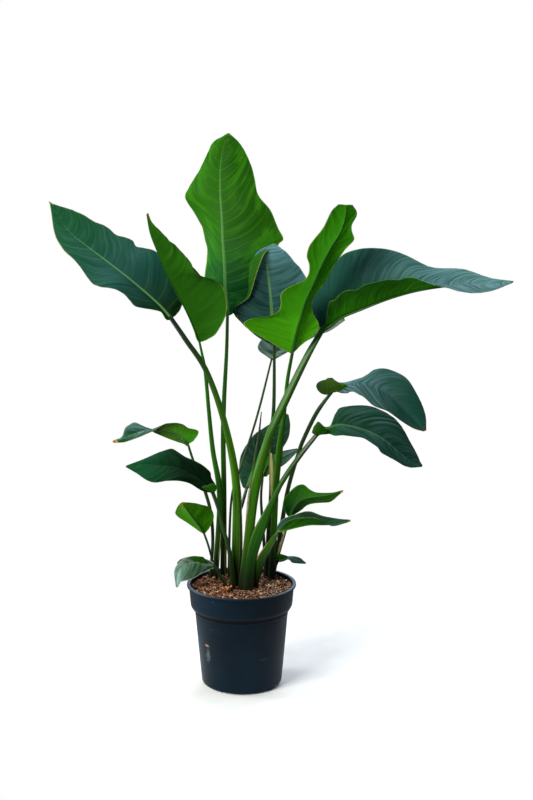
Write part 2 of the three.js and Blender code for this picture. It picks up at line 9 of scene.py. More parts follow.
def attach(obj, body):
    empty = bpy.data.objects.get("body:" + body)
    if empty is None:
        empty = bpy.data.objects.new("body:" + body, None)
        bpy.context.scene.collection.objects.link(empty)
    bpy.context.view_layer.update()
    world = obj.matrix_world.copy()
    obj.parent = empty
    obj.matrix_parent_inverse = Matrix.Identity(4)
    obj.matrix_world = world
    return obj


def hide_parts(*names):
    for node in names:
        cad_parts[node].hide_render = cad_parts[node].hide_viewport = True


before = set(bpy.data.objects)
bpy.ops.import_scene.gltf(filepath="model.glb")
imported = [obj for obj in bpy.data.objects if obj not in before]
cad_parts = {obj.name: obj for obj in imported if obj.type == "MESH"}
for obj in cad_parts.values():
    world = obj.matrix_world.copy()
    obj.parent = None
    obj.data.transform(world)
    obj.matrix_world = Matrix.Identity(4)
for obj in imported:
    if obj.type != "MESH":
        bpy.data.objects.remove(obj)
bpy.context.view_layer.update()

# A bird of paradise plant in its nursery pot. Tables are in millimetres unless a note says otherwise,
# Blender's objects in metres. The shape tables repeat those of the part's source, so that each finer
# piece keeps its solid's form.
mm = 0.001


def hexColour(text):
    # sRGB hex to the linear colour that shaders use
    parts = [int(text[k:k + 2], 16) / 255 for k in (1, 3, 5)]
    linear = [p / 12.92 if p <= 0.04045 else ((p + 0.055) / 1.055) ** 2.4 for p in parts]
    return (*linear, 1.0)


def addNode(tree, kind, inputs=(), stops=(), **settings):
    # one shader node with its settings and its inputs, in order or by name: a fixed value, or the
    # output that feeds it, where a node stands for its first output in use
    node = tree.nodes.new("ShaderNode" + kind)
    for name, value in settings.items():
        setattr(node, name, value)
    for key, source in inputs.items() if isinstance(inputs, dict) else enumerate(inputs):
        if isinstance(source, bpy.types.Node):
            source = next(output for output in source.outputs if output.enabled)
        if isinstance(source, bpy.types.NodeSocket):
            tree.links.new(source, node.inputs[key])
        else:
            node.inputs[key].default_value = source
    if stops:
        ramp = node.color_ramp.elements
        while len(ramp) < len(stops):
            ramp.new(0.5)
        for element, (place, colour) in zip(ramp, stops):
            element.position = place
            element.color = colour
    return node


def startMaterial(name):
    material = bpy.data.materials.new(name)
    material.use_nodes = True
    material.node_tree.nodes.clear()
    return material, material.node_tree


def makeMesh(name, points, faces, materials, faceMaterials=None, smooth=True, **attributes):
    # a mesh object from points in millimetres, with vector attributes for its shaders
    mesh = bpy.data.meshes.new(name)
    mesh.from_pydata((np.asarray(points) * mm).tolist(), [], faces)
    for material in materials:
        mesh.materials.append(material)
    if faceMaterials is not None:
        mesh.polygons.foreach_set("material_index", faceMaterials)
    for title, values in attributes.items():
        layer = mesh.attributes.new(title, "FLOAT_VECTOR", "POINT")
        layer.data.foreach_set("vector", np.asarray(values, np.float32).ravel())
    mesh.polygons.foreach_set("use_smooth", [smooth] * len(mesh.polygons))
    mesh.update()
    piece = bpy.data.objects.new(name, mesh)
    bpy.context.scene.collection.objects.link(piece)
    return piece


def settle(piece, slot, *nodes):
    # every piece of the plant and pot stands on the one body
    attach(piece, "root")
    if nodes:
        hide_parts(*nodes)


def unit(vectors):
    return vectors / np.maximum(np.linalg.norm(vectors, axis=-1, keepdims=True), 1e-9)


def stepLengths(points):
    return np.linalg.norm(np.diff(points, axis=0), axis=1)


def smoothStep(low, high, value):
    share = np.clip((value - low) / (high - low), 0, 1)
    return share * share * (3 - 2 * share)


def curveThrough(points, where):
    # uniform Catmull-Rom curve, the same as the solids use
    points = np.asarray(points, float)
    ends = np.vstack([2 * points[0] - points[1], points, 2 * points[-1] - points[-2]])
    place = np.clip(where, 0, 1) * (len(points) - 1)
    index = np.minimum(place.astype(int), len(points) - 2)
    w = (place - index)[..., None]
    a, b, c, d = ends[index], ends[index + 1], ends[index + 2], ends[index + 3]
    early, late = 0.5 * (c - a), 0.5 * (d - b)
    return ((2 * b - 2 * c + early + late) * w ** 3 + (3 * c - 3 * b - 2 * early - late) * w ** 2
            + early * w + b)


def wander(seed, length, spacing, where):
    # smooth random heights from -1 to 1 along a line, one knot per spacing
    draw = np.random.default_rng(seed)
    knots = draw.uniform(-1, 1, int(length / spacing) + 4)
    place = np.clip(np.asarray(where) / spacing, 0, len(knots) - 2.001)
    index = place.astype(int)
    w = smoothStep(0, 1, place - index)
    return knots[index] * (1 - w) + knots[index + 1] * w


def overGrid(shape, *parts):
    # a vector for each point of a grid, from parts that differ by row, column or both, or not at all
    return np.stack([np.broadcast_to(part, shape) for part in parts], axis=-1).reshape(-1, len(parts))


def tubeFaces(rings, sides):
    # a tube of closed rings with a cap at each end
    index = np.arange(rings * sides).reshape(rings, sides)
    following = np.roll(index, -1, axis=1)
    faces = np.stack([index[:-1], following[:-1], following[1:], index[1:]], axis=-1)
    return faces.reshape(-1, 4).tolist() + [index[0, ::-1].tolist(), index[-1].tolist()]


def shellFaces(rows, columns):
    # a closed shell of two grids: its upper side, its lower side and the rim that joins them
    below = rows * columns
    index = np.arange(below).reshape(rows, columns)
    a, b, c, d = index[:-1, :-1], index[:-1, 1:], index[1:, :-1], index[1:, 1:]
    upper = np.stack([a, b, d, c], axis=-1).reshape(-1, 4).tolist()
    lower = (np.stack([a, c, d, b], axis=-1).reshape(-1, 4) + below).tolist()
    edge = [int(k) for k in (*index[0], *index[1:, -1], *index[-1, -2::-1], *index[-2:0:-1, 0])]
    rim = [[k, k + below, n + below, n] for k, n in zip(edge, edge[1:] + edge[:1])]
    return upper, lower, rim


# A stalk's rows are its middle's x, y and z, its width and its depth, from the foot up. A blade's rows
# are the midrib's x, y and z and how far each half reaches from it, left and then right. A trim lists
# places along the blade and the factor on that half's reach there, which makes its bumps and notches.
leafShapes = {
    "leaf_left_tall": {
        "slot": "mature_leaf", "skin": ("stem", "shadow"), "waves": 3,
        "upper": {"tones": ("shadow", "teal", "deep"), "halves": (1, 0.9), "edge": "olive",
            "edgeDry": "margin", "edgeTurn": 0.75, "pale": 0.25, "ribColour": "rib", "line": 0.35,
            "bloom": 0.07, "bloomBase": 0.35, "specular": 0.02},
        "leftTrim": ((0.09, 0.39), (0.14, 0.73), (0.18, 1.09), (0.21, 1.27), (0.25, 1.11), (0.3, 0.97),
            (0.4, 1.02), (0.48, 1.04), (0.54, 0.97), (0.6, 0.91), (0.65, 0.94), (0.72, 1.04), (0.78, 1),
            (0.89, 1.05)),
        "rightTrim": ((0.3, 0.95), (0.4, 0.97), (0.45, 0.95), (0.49, 0.9), (0.53, 1.01), (0.58, 1),
            (0.64, 0.92), (0.71, 1.02), (0.8, 1), (0.93, 1.12)),
        "stalk": ((-12, 2, 165, 26, 14), (-13, 0, 222, 28, 14), (-8, -5, 330, 25, 13),
            (-12, -2, 465, 18, 12), (-37, 9, 591, 14, 10), (-75, 28, 697, 12, 9), (-119, 45, 762, 11, 8),
            (-151, 62, 806, 10, 6)),
        "blade": ((-151, 62, 806, -8, -7, -4, 18, 7, 15), (-182, 80, 837, -25, -24, -8, 60, 20, 34),
            (-233, 104, 878, -34, -37, -12, 62, 31, 57), (-286, 126, 917, -36, -44, -36, 55, 34, 44),
            (-338, 147, 953, -34, -37, -20, 53, 31, 33), (-384, 165, 989, -23, -20, -16, 40, 20, 27),
            (-428, 190, 1051, 2, 0, -4, 5, 0, -4)),
    },
    "leaf_left_folded": {
        "slot": "young_leaf", "skin": ("mature", "mature"), "waves": 3,
        "under": {"tones": ("mature", "mature", "mature"), "halves": (1.3, 1.6), "streak": 0.05,
            "uneven": 0.04, "veinDark": 0.03, "line": 0, "rib": 0.2, "edge": "straw", "edgeDry": "dry",
            "edgeTurn": 0.45, "tipStart": 0.98, "tip": "olive", "tipDry": "rust"},
        "leftTrim": ((0.06, 1.05), (0.13, 0.96), (0.23, 0.94), (0.35, 0.98), (0.47, 1.03), (0.51, 1.1),
            (0.55, 1.01), (0.6, 1.07), (0.65, 1.18), (0.71, 1.2), (0.8, 1.29), (0.89, 1.3), (0.96, 0.8)),
        "rightTrim": ((0.5, 0.95), (0.7, 0.8), (0.85, 0.7), (0.95, 0.6)),
        "stalk": ((-54, 60, 165, 16, 10), (-58, 70, 222, 16, 10), (-48, 67, 400, 14, 9),
            (-63, 56, 516, 11, 8), (-71, 48, 607, 9, 7), (-78, 38, 696, 8, 6), (-89, 25, 761, 6, 5)),
        "blade": ((-89, 25, 761, 12, -4, 3, 7, 5, 6), (-99, 19, 789, 54, -16, 1, 32, 18, 14),
            (-114, 9, 827, 88, -26, 6, 53, 29, 24), (-137, -6, 876, 97, -31, 13, 56, 34, 26),
            (-157, -21, 918, 66, -26, 3, 49, 31, 21), (-174, -36, 964, 46, -18, -3, 30, 23, 13),
            (-187, -51, 1003, 22, -8, -2, 17, 10, 8), (-193, -65, 1043, 5, 0, -2, 3, 3, 3)),
    },
    "leaf_top": {
        "slot": "young_leaf", "skin": ("mature", "mature"), "waves": 3,
        "upper": {"tones": ("deep", "mature", "mature"), "halves": (1.2, 0.8), "streak": 0.45,
            "glow": "lime", "specular": 0.025, "bloom": 0, "ribColour": "rib", "ribWidth": 4.6,
            "edge": "straw", "edgeDry": "fresh", "edgeTurn": 0.45, "pale": 0.35, "paleGap": 21,
            "paleColour": "lime", "uneven": 0.05, "line": 0.2},
        "leftTrim": ((0.18, 0.99), (0.29, 0.89), (0.4, 0.91), (0.49, 1), (0.58, 1), (0.62, 1.03),
            (0.67, 0.98), (0.84, 0.98), (0.94, 1.2)),
        "rightTrim": ((0.3, 0.96), (0.37, 0.96), (0.39, 1.03), (0.44, 0.98), (0.53, 0.99), (0.59, 0.95),
            (0.67, 1.02), (0.82, 0.98), (0.91, 0.95)),
        "stalk": ((-42, 74, 165, 15, 11), (-42, 84, 222, 15, 11), (-40, 82, 416, 12, 10),
            (-41, 85, 532, 11, 9), (-39, 91, 617, 10, 8), (-33, 104, 728, 8, 7), (-31, 116, 805, 7, 6)),
        "blade": ((-31, 116, 805, -10, 0, -2, 10, 0, 2), (-36, 132, 860, -43, 8, 8, 54, -5, -19),
            (-38, 147, 913, -43, 29, 12, 96, -10, -10), (-42, 163, 968, -46, 44, 9, 130, -13, -6),
            (-44, 177, 1016, -59, 36, 3, 114, -13, 7), (-48, 194, 1075, -77, 18, -13, 83, -10, 1),
            (-47, 210, 1129, -48, 8, -11, 67, -5, 2), (-41, 221, 1168, -27, 3, 2, 42, 0, 4),
            (-30, 231, 1199, -4, 0, -2, 4, 0, -2)),
    },
    "leaf_middle": {
        "slot": "mature_leaf", "skin": ("moss", "moss"), "waves": 2,
        "upper": {"tones": ("teal", "teal", "waxSheen"), "halves": (1, 1.1), "ribWidth": 5.5, "rib": 1,
            "ribColour": "rib", "line": 1, "veinDark": 0.3, "uneven": 0.16, "bloom": 0.22,
            "bloomFrom": -0.3, "edge": "paleWaxSheen", "edgeDry": "paleWaxSheen"},
        "under": {"tones": ("mature", "mature", "mature"), "edge": "margin", "edgeDry": "margin"},
        "rightTrim": ((0.72, 0.99), (0.78, 0.92), (0.89, 0.98)),
        "stalk": ((52, 60, 165, 12, 9), (55, 66, 222, 13, 10), (65, 66, 420, 11, 8), (64, 60, 528, 9, 8),
            (71, 54, 617, 8, 7), (72, 42, 750, 6, 5)),
        # the left margin rolls over towards the midrib, so a third reach gives its edge
        "blade": ((72, 42, 750, -8, -2, 3, 8, 0, 2, -8, -4, 4),
            (69, 38, 785, -45, -8, -7, 41, 5, -10, -43, -13, -4),
            (66, 36, 823, -87, -14, 4, 68, 9, -12, -79, -21, 9),
            (63, 36, 860, -53, -16, 0, 82, 12, -6, -45, -25, 3),
            (59, 40, 898, -47, -16, 2, 85, 12, -10, -29, -28, 1),
            (56, 48, 931, -39, -12, -1, 73, 10, -12, -15, -26, 1),
            (58, 62, 956, -24, -6, -4, 47, 6, -14, -6, -18, -5),
            (69, 84, 967, -5, -2, -2, 9, 2, -3, -2, -5, -3)),
    },
    "leaf_front_bright": {
        "slot": "young_leaf", "skin": ("stem", "mature"), "waves": 4,
        "under": {"tones": ("lime", "fresh", "fresh"), "halves": (1.9, 0.95), "streak": 0.3,
            "glow": "lime", "tipStart": 1.04, "edge": "straw", "edgeDry": "paleWaxSheen", "edgeTurn": 0.85,
            "ribWidth": 5, "rib": 0.6, "ribColour": "mature", "veinDark": 0.16},
        "leftTrim": ((0.02, 0.85), (0.06, 1.12), (0.12, 0.99), (0.19, 0.98), (0.27, 1.02), (0.37, 0.92),
            (0.46, 0.9), (0.55, 0.95), (0.61, 0.97), (0.69, 0.9), (0.79, 1), (0.83, 0.7), (0.86, 0.66),
            (0.9, 0.98), (0.95, 1.05)),
        "rightTrim": ((0.07, 1.04), (0.14, 1.02), (0.175, 1.04), (0.2, 0.82), (0.24, 0.72), (0.28, 0.87),
            (0.35, 1.11), (0.4, 0.98), (0.45, 0.79), (0.53, 0.69), (0.58, 0.81), (0.62, 1.08),
            (0.67, 1.1), (0.73, 1), (0.8, 0.98), (0.87, 1.02), (0.94, 1.07)),
        "stalk": ((60, 50, 165, 16, 11), (66, 54, 222, 17, 12), (75, 52, 420, 14, 10),
            (84, 42, 525, 15, 9), (93, 29, 600, 9, 8), (100, 11, 679, 8, 7), (110, -10, 743, 7, 6)),
        "blade": ((110, -10, 743, 6, 2, 2, -9, 2, 0), (120, -33, 794, 45, 12, 6, -108, 24, 9),
            (128, -46, 826, 26, 12, 6, -83, 24, -1), (135, -57, 855, 16, 12, 2, -53, 21, -1),
            (146, -68, 884, 18, 12, -4, -47, 21, 5), (156, -78, 908, 26, 15, -2, -26, 18, 4),
            (171, -93, 945, 30, 15, 2, -31, 18, 4), (189, -108, 982, 32, 15, -7, -39, 18, 6),
            (205, -119, 1010, 31, 12, -11, -34, 15, 11), (214, -130, 1039, 25, 9, 6, -28, 9, 11),
            (216, -140, 1068, 13, 4, 0, -16, 4, 1)),
    },
    "leaf_right_long": {
        "slot": "mature_leaf", "skin": ("stem", "mature"), "waves": 4,
        "upper": {"tones": ("teal", "teal", "waxSheen"), "halves": (1.1, 0.6), "line": 0.55, "veinDark": 0.25,
            "bloom": 0.5, "bloomFrom": -0.1, "bloomOut": 0.25, "bloomFull": 0.75, "specular": 0.03,
            "edge": "rib", "edgeDry": "fresh", "edgeTurn": 0.8, "tipStart": 0.996, "tip": "olive"},
        "under": {"tones": ("fresh", "fresh", "lime"), "halves": (1.5, 1.5), "edge": "straw",
            "edgeDry": "margin", "uneven": 0.3, "line": 0.5},
        "leftTrim": ((0.05, 1.12), (0.11, 1.09), (0.18, 1.08), (0.25, 1.03), (0.31, 1), (0.48, 1.01),
            (0.54, 0.98), (0.59, 0.96), (0.65, 1.02)),
        "rightTrim": ((0.07, 1.1), (0.12, 1.1), (0.15, 0.96), (0.18, 1.02), (0.24, 1.07), (0.28, 0.93),
            (0.32, 1.04), (0.38, 1.02), (0.42, 0.97), (0.46, 0.88), (0.51, 1.03), (0.58, 1.2),
            (0.62, 1.05), (0.66, 0.85), (0.74, 1)),
        "stalk": ((6, -12, 165, 26, 13), (8, -14, 222, 30, 14), (18, -12, 353, 22, 13),
            (30, -13, 455, 25, 13), (53, -12, 539, 19, 12), (73, -10, 591, 19, 12), (138, 2, 726, 15, 11),
            (175, 12, 791, 14, 10)),
        "blade": ((175, 12, 791, -26, 20, 26, 7, -9, 10), (211, -1, 819, -38, 29, 66, -20, -41, 37),
            (257, -18, 841, -33, 32, 109, -29, -57, 43), (309, -37, 864, -28, 36, 102, -29, -67, 45),
            (361, -57, 882, -19, 36, 74, -18, -62, 33), (415, -78, 894, -11, 30, 37, -20, -50, 12),
            (467, -100, 901, -6, 18, 30, -11, -30, -12), (515, -121, 904, -1, 9, 13, -8, -14, -13),
            (558, -140, 912, -1, 0, 2, -3, 0, -3)),
    },
    "leaf_behind_middle": {
        "slot": "young_leaf", "skin": ("moss", "moss"), "waves": 2,
        "upper": {"tones": ("teal", "waxSheen", "frost"), "bloomColour": "frost", "bloom": 0.4, "uneven": 0.35,
            "line": 0.7, "edge": "haze", "edgeDry": "haze"},
        "stalk": ((-28, 58, 165, 7, 6), (-30, 66, 222, 7, 6), (-24, 67, 393, 6, 6), (-6, 70, 463, 5, 5),
            (22, 74, 547, 5, 5), (41, 79, 612, 5, 5), (66, 88, 712, 5, 5)),
        "blade": ((66, 88, 712, -5, 0, 2, 4, 0, -2), (85, 95, 730, -49, 9, 10, 9, -6, -6),
            (120, 106, 753, -35, 12, 39, 15, -9, -6), (158, 116, 771, -24, 12, 43, 11, -9, -8),
            (193, 126, 783, -15, 9, 28, 4, -6, -11), (228, 135, 795, -1, 0, 3, 1, 0, -3)),
    },
    "leaf_right_upper": {
        "slot": "mature_leaf", "skin": ("moss", "moss"), "waves": 3, "baseRound": 0.07, "baseStart": 0.3,
        "upper": {"tones": ("forest", "teal", "teal"), "halves": (0.9, 0.7), "ribColour": "teal",
            "edge": "moss", "edgeDry": "dry", "line": 0.5, "veinDark": 0.25, "bloom": 0.5,
            "bloomFrom": -0.1, "bloomOut": 0.75, "bloomFull": 0.3, "bloomBase": 0.14, "tipStart": 0.992,
            "tip": "dry"},
        "leftTrim": ((0.1, 0.98), (0.19, 1.13), (0.22, 0.77), (0.27, 0.72), (0.33, 1.03), (0.41, 0.66),
            (0.45, 0.78), (0.49, 1.02)),
        "rightTrim": ((0.06, 1.06), (0.11, 0.85), (0.18, 0.54), (0.26, 0.9), (0.3, 0.92), (0.35, 0.82),
            (0.41, 0.97)),
        "stalk": ((58, 68, 165, 11, 9), (64, 78, 222, 12, 10), (81, 80, 289, 11, 9),
            (101, 74, 416, 10, 9), (126, 62, 510, 10, 9), (140, 56, 549, 10, 8), (166, 44, 605, 10, 8),
            (198, 30, 653, 9, 7)),
        "blade": ((198, 30, 653, -22, 8, 26, -33, -8, 13), (208, 26, 659, -13, 12, 22, -28, -18, -10),
            (218, 22, 664, -10, 12, 11, -6, -22, -12), (239, 12, 671, 6, 14, 7, -3, -22, -16),
            (264, 0, 675, 7, 17, 21, -3, -22, -25), (293, -17, 669, 15, 20, 38, -9, -22, -36),
            (320, -36, 653, 30, 17, 39, -7, -20, -29), (345, -54, 630, 30, 11, 28, -5, -14, -23),
            (367, -69, 609, 24, 6, 12, -2, -8, -16), (388, -84, 589, 4, 0, 1, -2, 0, -1)),
    },
    "leaf_right_lower": {
        "slot": "mature_leaf", "skin": ("mature", "moss"), "waves": 3, "baseRound": 0.05,
        "baseStart": 0.4,
        "upper": {"tones": ("mature", "deep", "teal"), "halves": (0.8, 1), "ribColour": "rib",
            "edge": "moss", "edgeDry": "dry", "line": 0.35, "veinDark": 0.2, "bloom": 0.3,
            "bloomFrom": -0.1, "bloomOut": 0.2, "bloomFull": 0.6, "tipStart": 0.992, "tip": "dry"},
        "leftTrim": ((0.09, 1.11), (0.13, 0.4), (0.17, 0.3), (0.22, 0.45), (0.28, 0.68), (0.35, 0.78),
            (0.41, 0.93), (0.46, 1), (0.69, 0.98), (0.78, 1.06), (0.87, 1.02), (0.97, 0.87)),
        "rightTrim": ((0.03, 0.6), (0.17, 0.77), (0.3, 0.98), (0.41, 1.01), (0.5, 0.93), (0.56, 0.8),
            (0.61, 0.92), (0.66, 1), (0.69, 1.22), (0.73, 1.1), (0.78, 0.96), (0.85, 1.02)),
        "stalk": ((13, -24, 165, 22, 11), (15, -26, 222, 24, 11), (23, -26, 296, 24, 10),
            (40, -24, 356, 26, 11), (76, -18, 437, 13, 10), (94, -14, 470, 12, 10), (127, -6, 517, 11, 9),
            (165, 2, 564, 10, 7)),
        "blade": ((165, 2, 564, -9, 6, 12, -1, -4, -6), (180, 7, 572, -8, 12, 15, 0, -12, -13),
            (192, 10, 577, 1, 6, 5, 0, -13, -15), (203, 13, 580, 3, 16, 33, 0, -14, -20),
            (224, 18, 580, -2, 18, 37, 0, -15, -20), (272, 32, 565, 12, 21, 50, -9, -15, -18),
            (313, 44, 541, 27, 18, 43, -13, -12, -16), (349, 57, 508, 21, 12, 23, -11, -9, -15),
            (377, 67, 485, 13, 6, 13, -7, -4, -10), (400, 74, 475, 1, 0, 2, -1, 0, -2)),
    },
    "leaf_left_twisted": {
        "slot": "shaded_leaf", "skin": ("moss", "moss"), "waves": 2,
        "upper": {"tones": ("shadow", "shadow", "deep"), "halves": (0.8, 0.8), "bloom": 0.4, "line": 0.8,
            "tipStart": 0.95, "tip": "gold", "tipDry": "rust", "edge": "margin", "edgeDry": "margin"},
        "under": {"tones": ("fresh", "olive", "olive"), "halves": (1.2, 0.9), "tipStart": 0.93,
            "tip": "margin", "ribColour": "forest"},
        "leftTrim": ((0.11, 1.1), (0.17, 1.2), (0.22, 0.95), (0.27, 1.05), (0.36, 1.2), (0.43, 1.35),
            (0.57, 0.93), (0.66, 0.81), (0.78, 0.8), (0.95, 1.09)),
        "rightTrim": ((0.14, 1.13), (0.27, 0.96), (0.38, 0.98), (0.46, 1.09), (0.55, 1.2), (0.61, 1.45),
            (0.69, 1.06), (0.79, 0.91), (0.88, 0.45)),
        "stalk": ((-62, 58, 165, 9, 8), (-69, 66, 222, 9, 8), (-65, 76, 302, 8, 7), (-69, 80, 364, 8, 7),
            (-82, 85, 415, 8, 7), (-109, 94, 486, 6, 6), (-120, 98, 520, 6, 5)),
        "blade": ((-120, 98, 520, 12, -1, 5, -2, 1, -7), (-136, 104, 532, 34, -7, 13, 4, 7, -13),
            (-156, 114, 543, 21, -12, 21, -1, 14, -21), (-186, 128, 546, 10, -19, 15, -8, 22, -13),
            (-214, 141, 541, 14, -14, 0, -12, 17, 7), (-245, 157, 529, 11, -10, -9, -15, 12, 16),
            (-273, 173, 514, 9, -4, -6, -2, 5, 10), (-295, 185, 505, 2, 0, -2, -1, 0, 2)),
    },
    "leaf_left_dark": {
        "slot": "shaded_leaf", "skin": ("moss", "moss"), "waves": 3,
        "upper": {"tones": ("shadow", "shadow", "deep"), "halves": (1.2, 1), "rib": 0.05,
            "veinDark": 0.08, "uneven": 0.08, "line": 0, "edge": "olive", "edgeDry": "moss",
            "bloom": 0.05},
        "leftTrim": ((0.04, 1.09), (0.21, 0.87), (0.35, 1.05), (0.51, 1.11), (0.74, 1.13), (0.86, 1)),
        "rightTrim": ((0.14, 0.86), (0.19, 1.11), (0.27, 1.1), (0.36, 1), (0.43, 0.89), (0.5, 0.98),
            (0.57, 1.14), (0.67, 1.13), (0.81, 1.09)),
        "stalk": ((-16, -14, 165, 12, 9), (-18, -17, 222, 12, 9), (-20, -18, 262, 12, 9),
            (-27, -21, 314, 10, 9), (-39, -26, 361, 9, 8), (-49, -33, 408, 9, 8), (-61, -42, 446, 10, 7)),
        "blade": ((-61, -42, 446, -10, -5, -1, 9, 5, 10), (-81, -51, 468, -17, -16, -6, 17, 13, 14),
            (-108, -64, 490, -14, -21, -10, 15, 16, 22), (-139, -77, 508, -15, -23, -21, 6, 18, 31),
            (-174, -90, 515, -11, -21, -26, 8, 16, 25), (-208, -101, 520, -8, -10, -17, 4, 8, 10),
            (-241, -111, 519, 1, 0, -2, 2, 0, 2)),
    },
    "leaf_left_small": {
        "slot": "young_leaf", "skin": ("moss", "mature"), "waves": 1,
        "under": {"tones": ("lime", "lime", "bright"), "halves": (0.9, 0.9), "streak": 0.25,
            "tipStart": 0.9, "tip": "gold", "tipDry": "gold", "rib": 0.08, "uneven": 0.06,
            "edge": "margin"},
        "stalk": ((-52, 48, 165, 6, 5), (-56, 53, 222, 6, 5), (-65, 52, 261, 5, 5), (-74, 48, 299, 5, 5),
            (-83, 42, 329, 5, 4)),
        "blade": ((-83, 42, 329, 8, 2, 5, -5, 2, 0), (-94, 32, 350, 33, 12, 15, -22, 12, 1),
            (-108, 20, 373, 38, 15, 17, -36, 15, 2), (-121, 7, 395, 20, 9, 10, -20, 9, 0),
            (-130, -4, 412, 3, 0, 1, -3, 0, -2)),
    },
    "leaf_rim_left": {
        "slot": "mature_leaf", "skin": ("moss", "moss"), "waves": 2,
        "upper": {"tones": ("forest", "deep", "paleWaxSheen"), "halves": (1.2, 0.5), "bloomColour": "frost",
            "bloom": 0.22, "bloomFrom": -0.3, "edge": "frost", "edgeDry": "paleWaxSheen", "edgeShare": 1,
            "line": 0.8, "tipStart": 0.97, "tip": "margin", "tipDry": "dry"},
        "stalk": ((-34, 6, 165, 9, 8), (-36, 6, 222, 9, 8), (-45, 4, 241, 8, 7), (-60, 2, 267, 7, 5)),
        "blade": ((-60, 2, 267, -2, -3, -4, 0, 3, 6), (-82, -9, 274, -4, -12, -17, 2, 12, 9),
            (-105, -21, 281, -4, -16, -32, 2, 16, 7), (-127, -33, 277, -2, -16, -30, 2, 14, 13),
            (-139, -44, 260, 7, -8, -15, -6, 8, 11), (-140, -55, 236, 3, 0, 0, -2, 0, 3)),
    },
    "leaf_right_green": {
        "slot": "young_leaf", "skin": ("stem", "mature"), "waves": 2,
        "upper": {"tipStart": 0.985, "tip": "gold", "tipDry": "rust"},
        "under": {"tones": ("forest", "mature", "mature"), "halves": (1, 1.2), "tipStart": 0.985,
            "tip": "gold", "tipDry": "rust", "veinDark": 0.14, "edge": "lime"},
        "leftTrim": ((0.14, 1.03), (0.41, 0.93), (0.59, 1.06), (0.74, 1.06), (0.88, 1.25)),
        "rightTrim": ((0.24, 1.03), (0.43, 1.02), (0.54, 1.05), (0.61, 0.77), (0.69, 0.6), (0.82, 0.9),
            (0.92, 0.64)),
        "stalk": ((58, 56, 165, 8, 7), (70, 66, 222, 8, 7), (78, 62, 263, 8, 7), (92, 54, 315, 7, 6),
            (106, 46, 366, 6, 5)),
        "blade": ((106, 46, 366, 6, 2, 2, -6, 2, 2), (114, 37, 389, 18, 10, -8, -21, 13, 11),
            (131, 26, 410, 13, 13, -17, -9, 16, 28), (154, 13, 420, 7, 10, -16, -7, 13, 19),
            (185, -3, 428, 5, 6, -15, -4, 6, 5), (221, -23, 443, -2, 0, -3, -1, 0, 2)),
    },
    "leaf_right_low": {
        "slot": "shaded_leaf", "skin": ("stem", "stem"), "waves": 3,
        "upper": {"tones": ("teal", "shadow", "forest"), "edge": "margin"},
        "under": {"tones": ("mature", "mature", "forest"), "halves": (1.2, 1.2), "uneven": 0.15,
            "edge": "lime"},
        "stalk": ((25, -10, 165, 16, 10), (28, -12, 222, 17, 10), (36, -21, 264, 20, 9),
            (45, -24, 294, 20, 9), (67, -30, 333, 14, 8), (80, -36, 358, 11, 6)),
        "blade": ((80, -36, 358, -4, 5, 6, 6, -5, 7), (97, -43, 363, -6, 14, 19, 2, -14, 20),
            (121, -54, 372, -2, 18, 23, 2, -20, 24), (148, -69, 381, 0, 20, 24, 1, -22, 22),
            (175, -85, 385, 3, 14, 15, -1, -18, 14), (202, -103, 391, 5, 8, 10, -7, -10, -1),
            (232, -125, 404, 0, 0, 3, -2, 0, -2)),
    },
    "leaf_rim_right": {
        "slot": "young_leaf", "skin": ("moss", "moss"), "waves": 1,
        "upper": {"tones": ("forest", "waxSheen", "waxSheen"), "bloom": 0.3},
        "leftTrim": ((0.2, 1.05), (0.42, 0.5), (0.6, 0.9), (0.8, 1.1)),
        "rightTrim": ((0.2, 1), (0.42, 0.5), (0.65, 1)),
        "stalk": ((62, 72, 165, 6, 5), (71, 76, 222, 6, 5), (74, 68, 243, 6, 5), (81, 60, 260, 5, 4)),
        "blade": ((81, 60, 260, -9, 3, 10, 2, -2, -2), (99, 69, 265, -7, 7, 7, 2, -6, -5),
            (119, 79, 258, 5, 6, 5, -5, -5, -6), (144, 95, 245, -1, 0, 2, -2, 0, -2)),
    },
    "leaf_centre_back": {
        "slot": "shaded_leaf", "skin": ("moss", "moss"), "waves": 2,
        "upper": {"tones": ("forest", "shadow", "forest"), "line": 0.2},
        "stalk": ((-20, 78, 165, 9, 8), (-20, 88, 222, 9, 8), (-11, 95, 341, 8, 7), (0, 99, 380, 8, 7),
            (10, 106, 414, 7, 5)),
        "blade": ((10, 106, 414, -8, 2, 2, 8, -2, 3), (23, 126, 449, -29, 8, -11, 27, -6, 1),
            (41, 150, 483, -46, 12, -7, 36, -9, -4), (63, 177, 516, -39, 9, 2, 39, -9, -5),
            (84, 201, 541, -21, 4, 2, 25, -4, -4), (102, 222, 563, -4, 0, 1, 4, 0, -3)),
    },
    "leaf_centre_small": {
        "slot": "young_leaf", "skin": ("moss", "moss"), "waves": 1,
        "upper": {"streak": 0.4},
        "under": {"tones": ("fresh", "fresh", "paleWaxSheen"), "halves": (1.2, 1), "streak": 0.4},
        "stalk": ((48, 68, 165, 8, 7), (52, 82, 222, 8, 7), (49, 84, 302, 7, 6), (43, 84, 395, 6, 6),
            (47, 82, 450, 5, 5)),
        "blade": ((47, 82, 450, 7, 2, -3, -4, 2, 4), (56, 87, 470, 11, 4, -12, -7, 6, 17),
            (74, 92, 482, 11, 6, -16, -2, 6, 15), (96, 98, 491, 7, 4, -12, 0, 4, 13),
            (125, 106, 505, 1, 0, -3, -1, 0, 3)),
    },
    "spear_new_leaf": {
        "stalk": ((4, 6, 165, 10, 9), (6, 6, 222, 10, 9), (12, 5, 314, 9, 8), (21, 4, 416, 8, 7),
            (29, 3, 501, 8, 6), (37, 2, 550, 6, 5), (44, 0, 613, 2.2, 2)),
    },
}

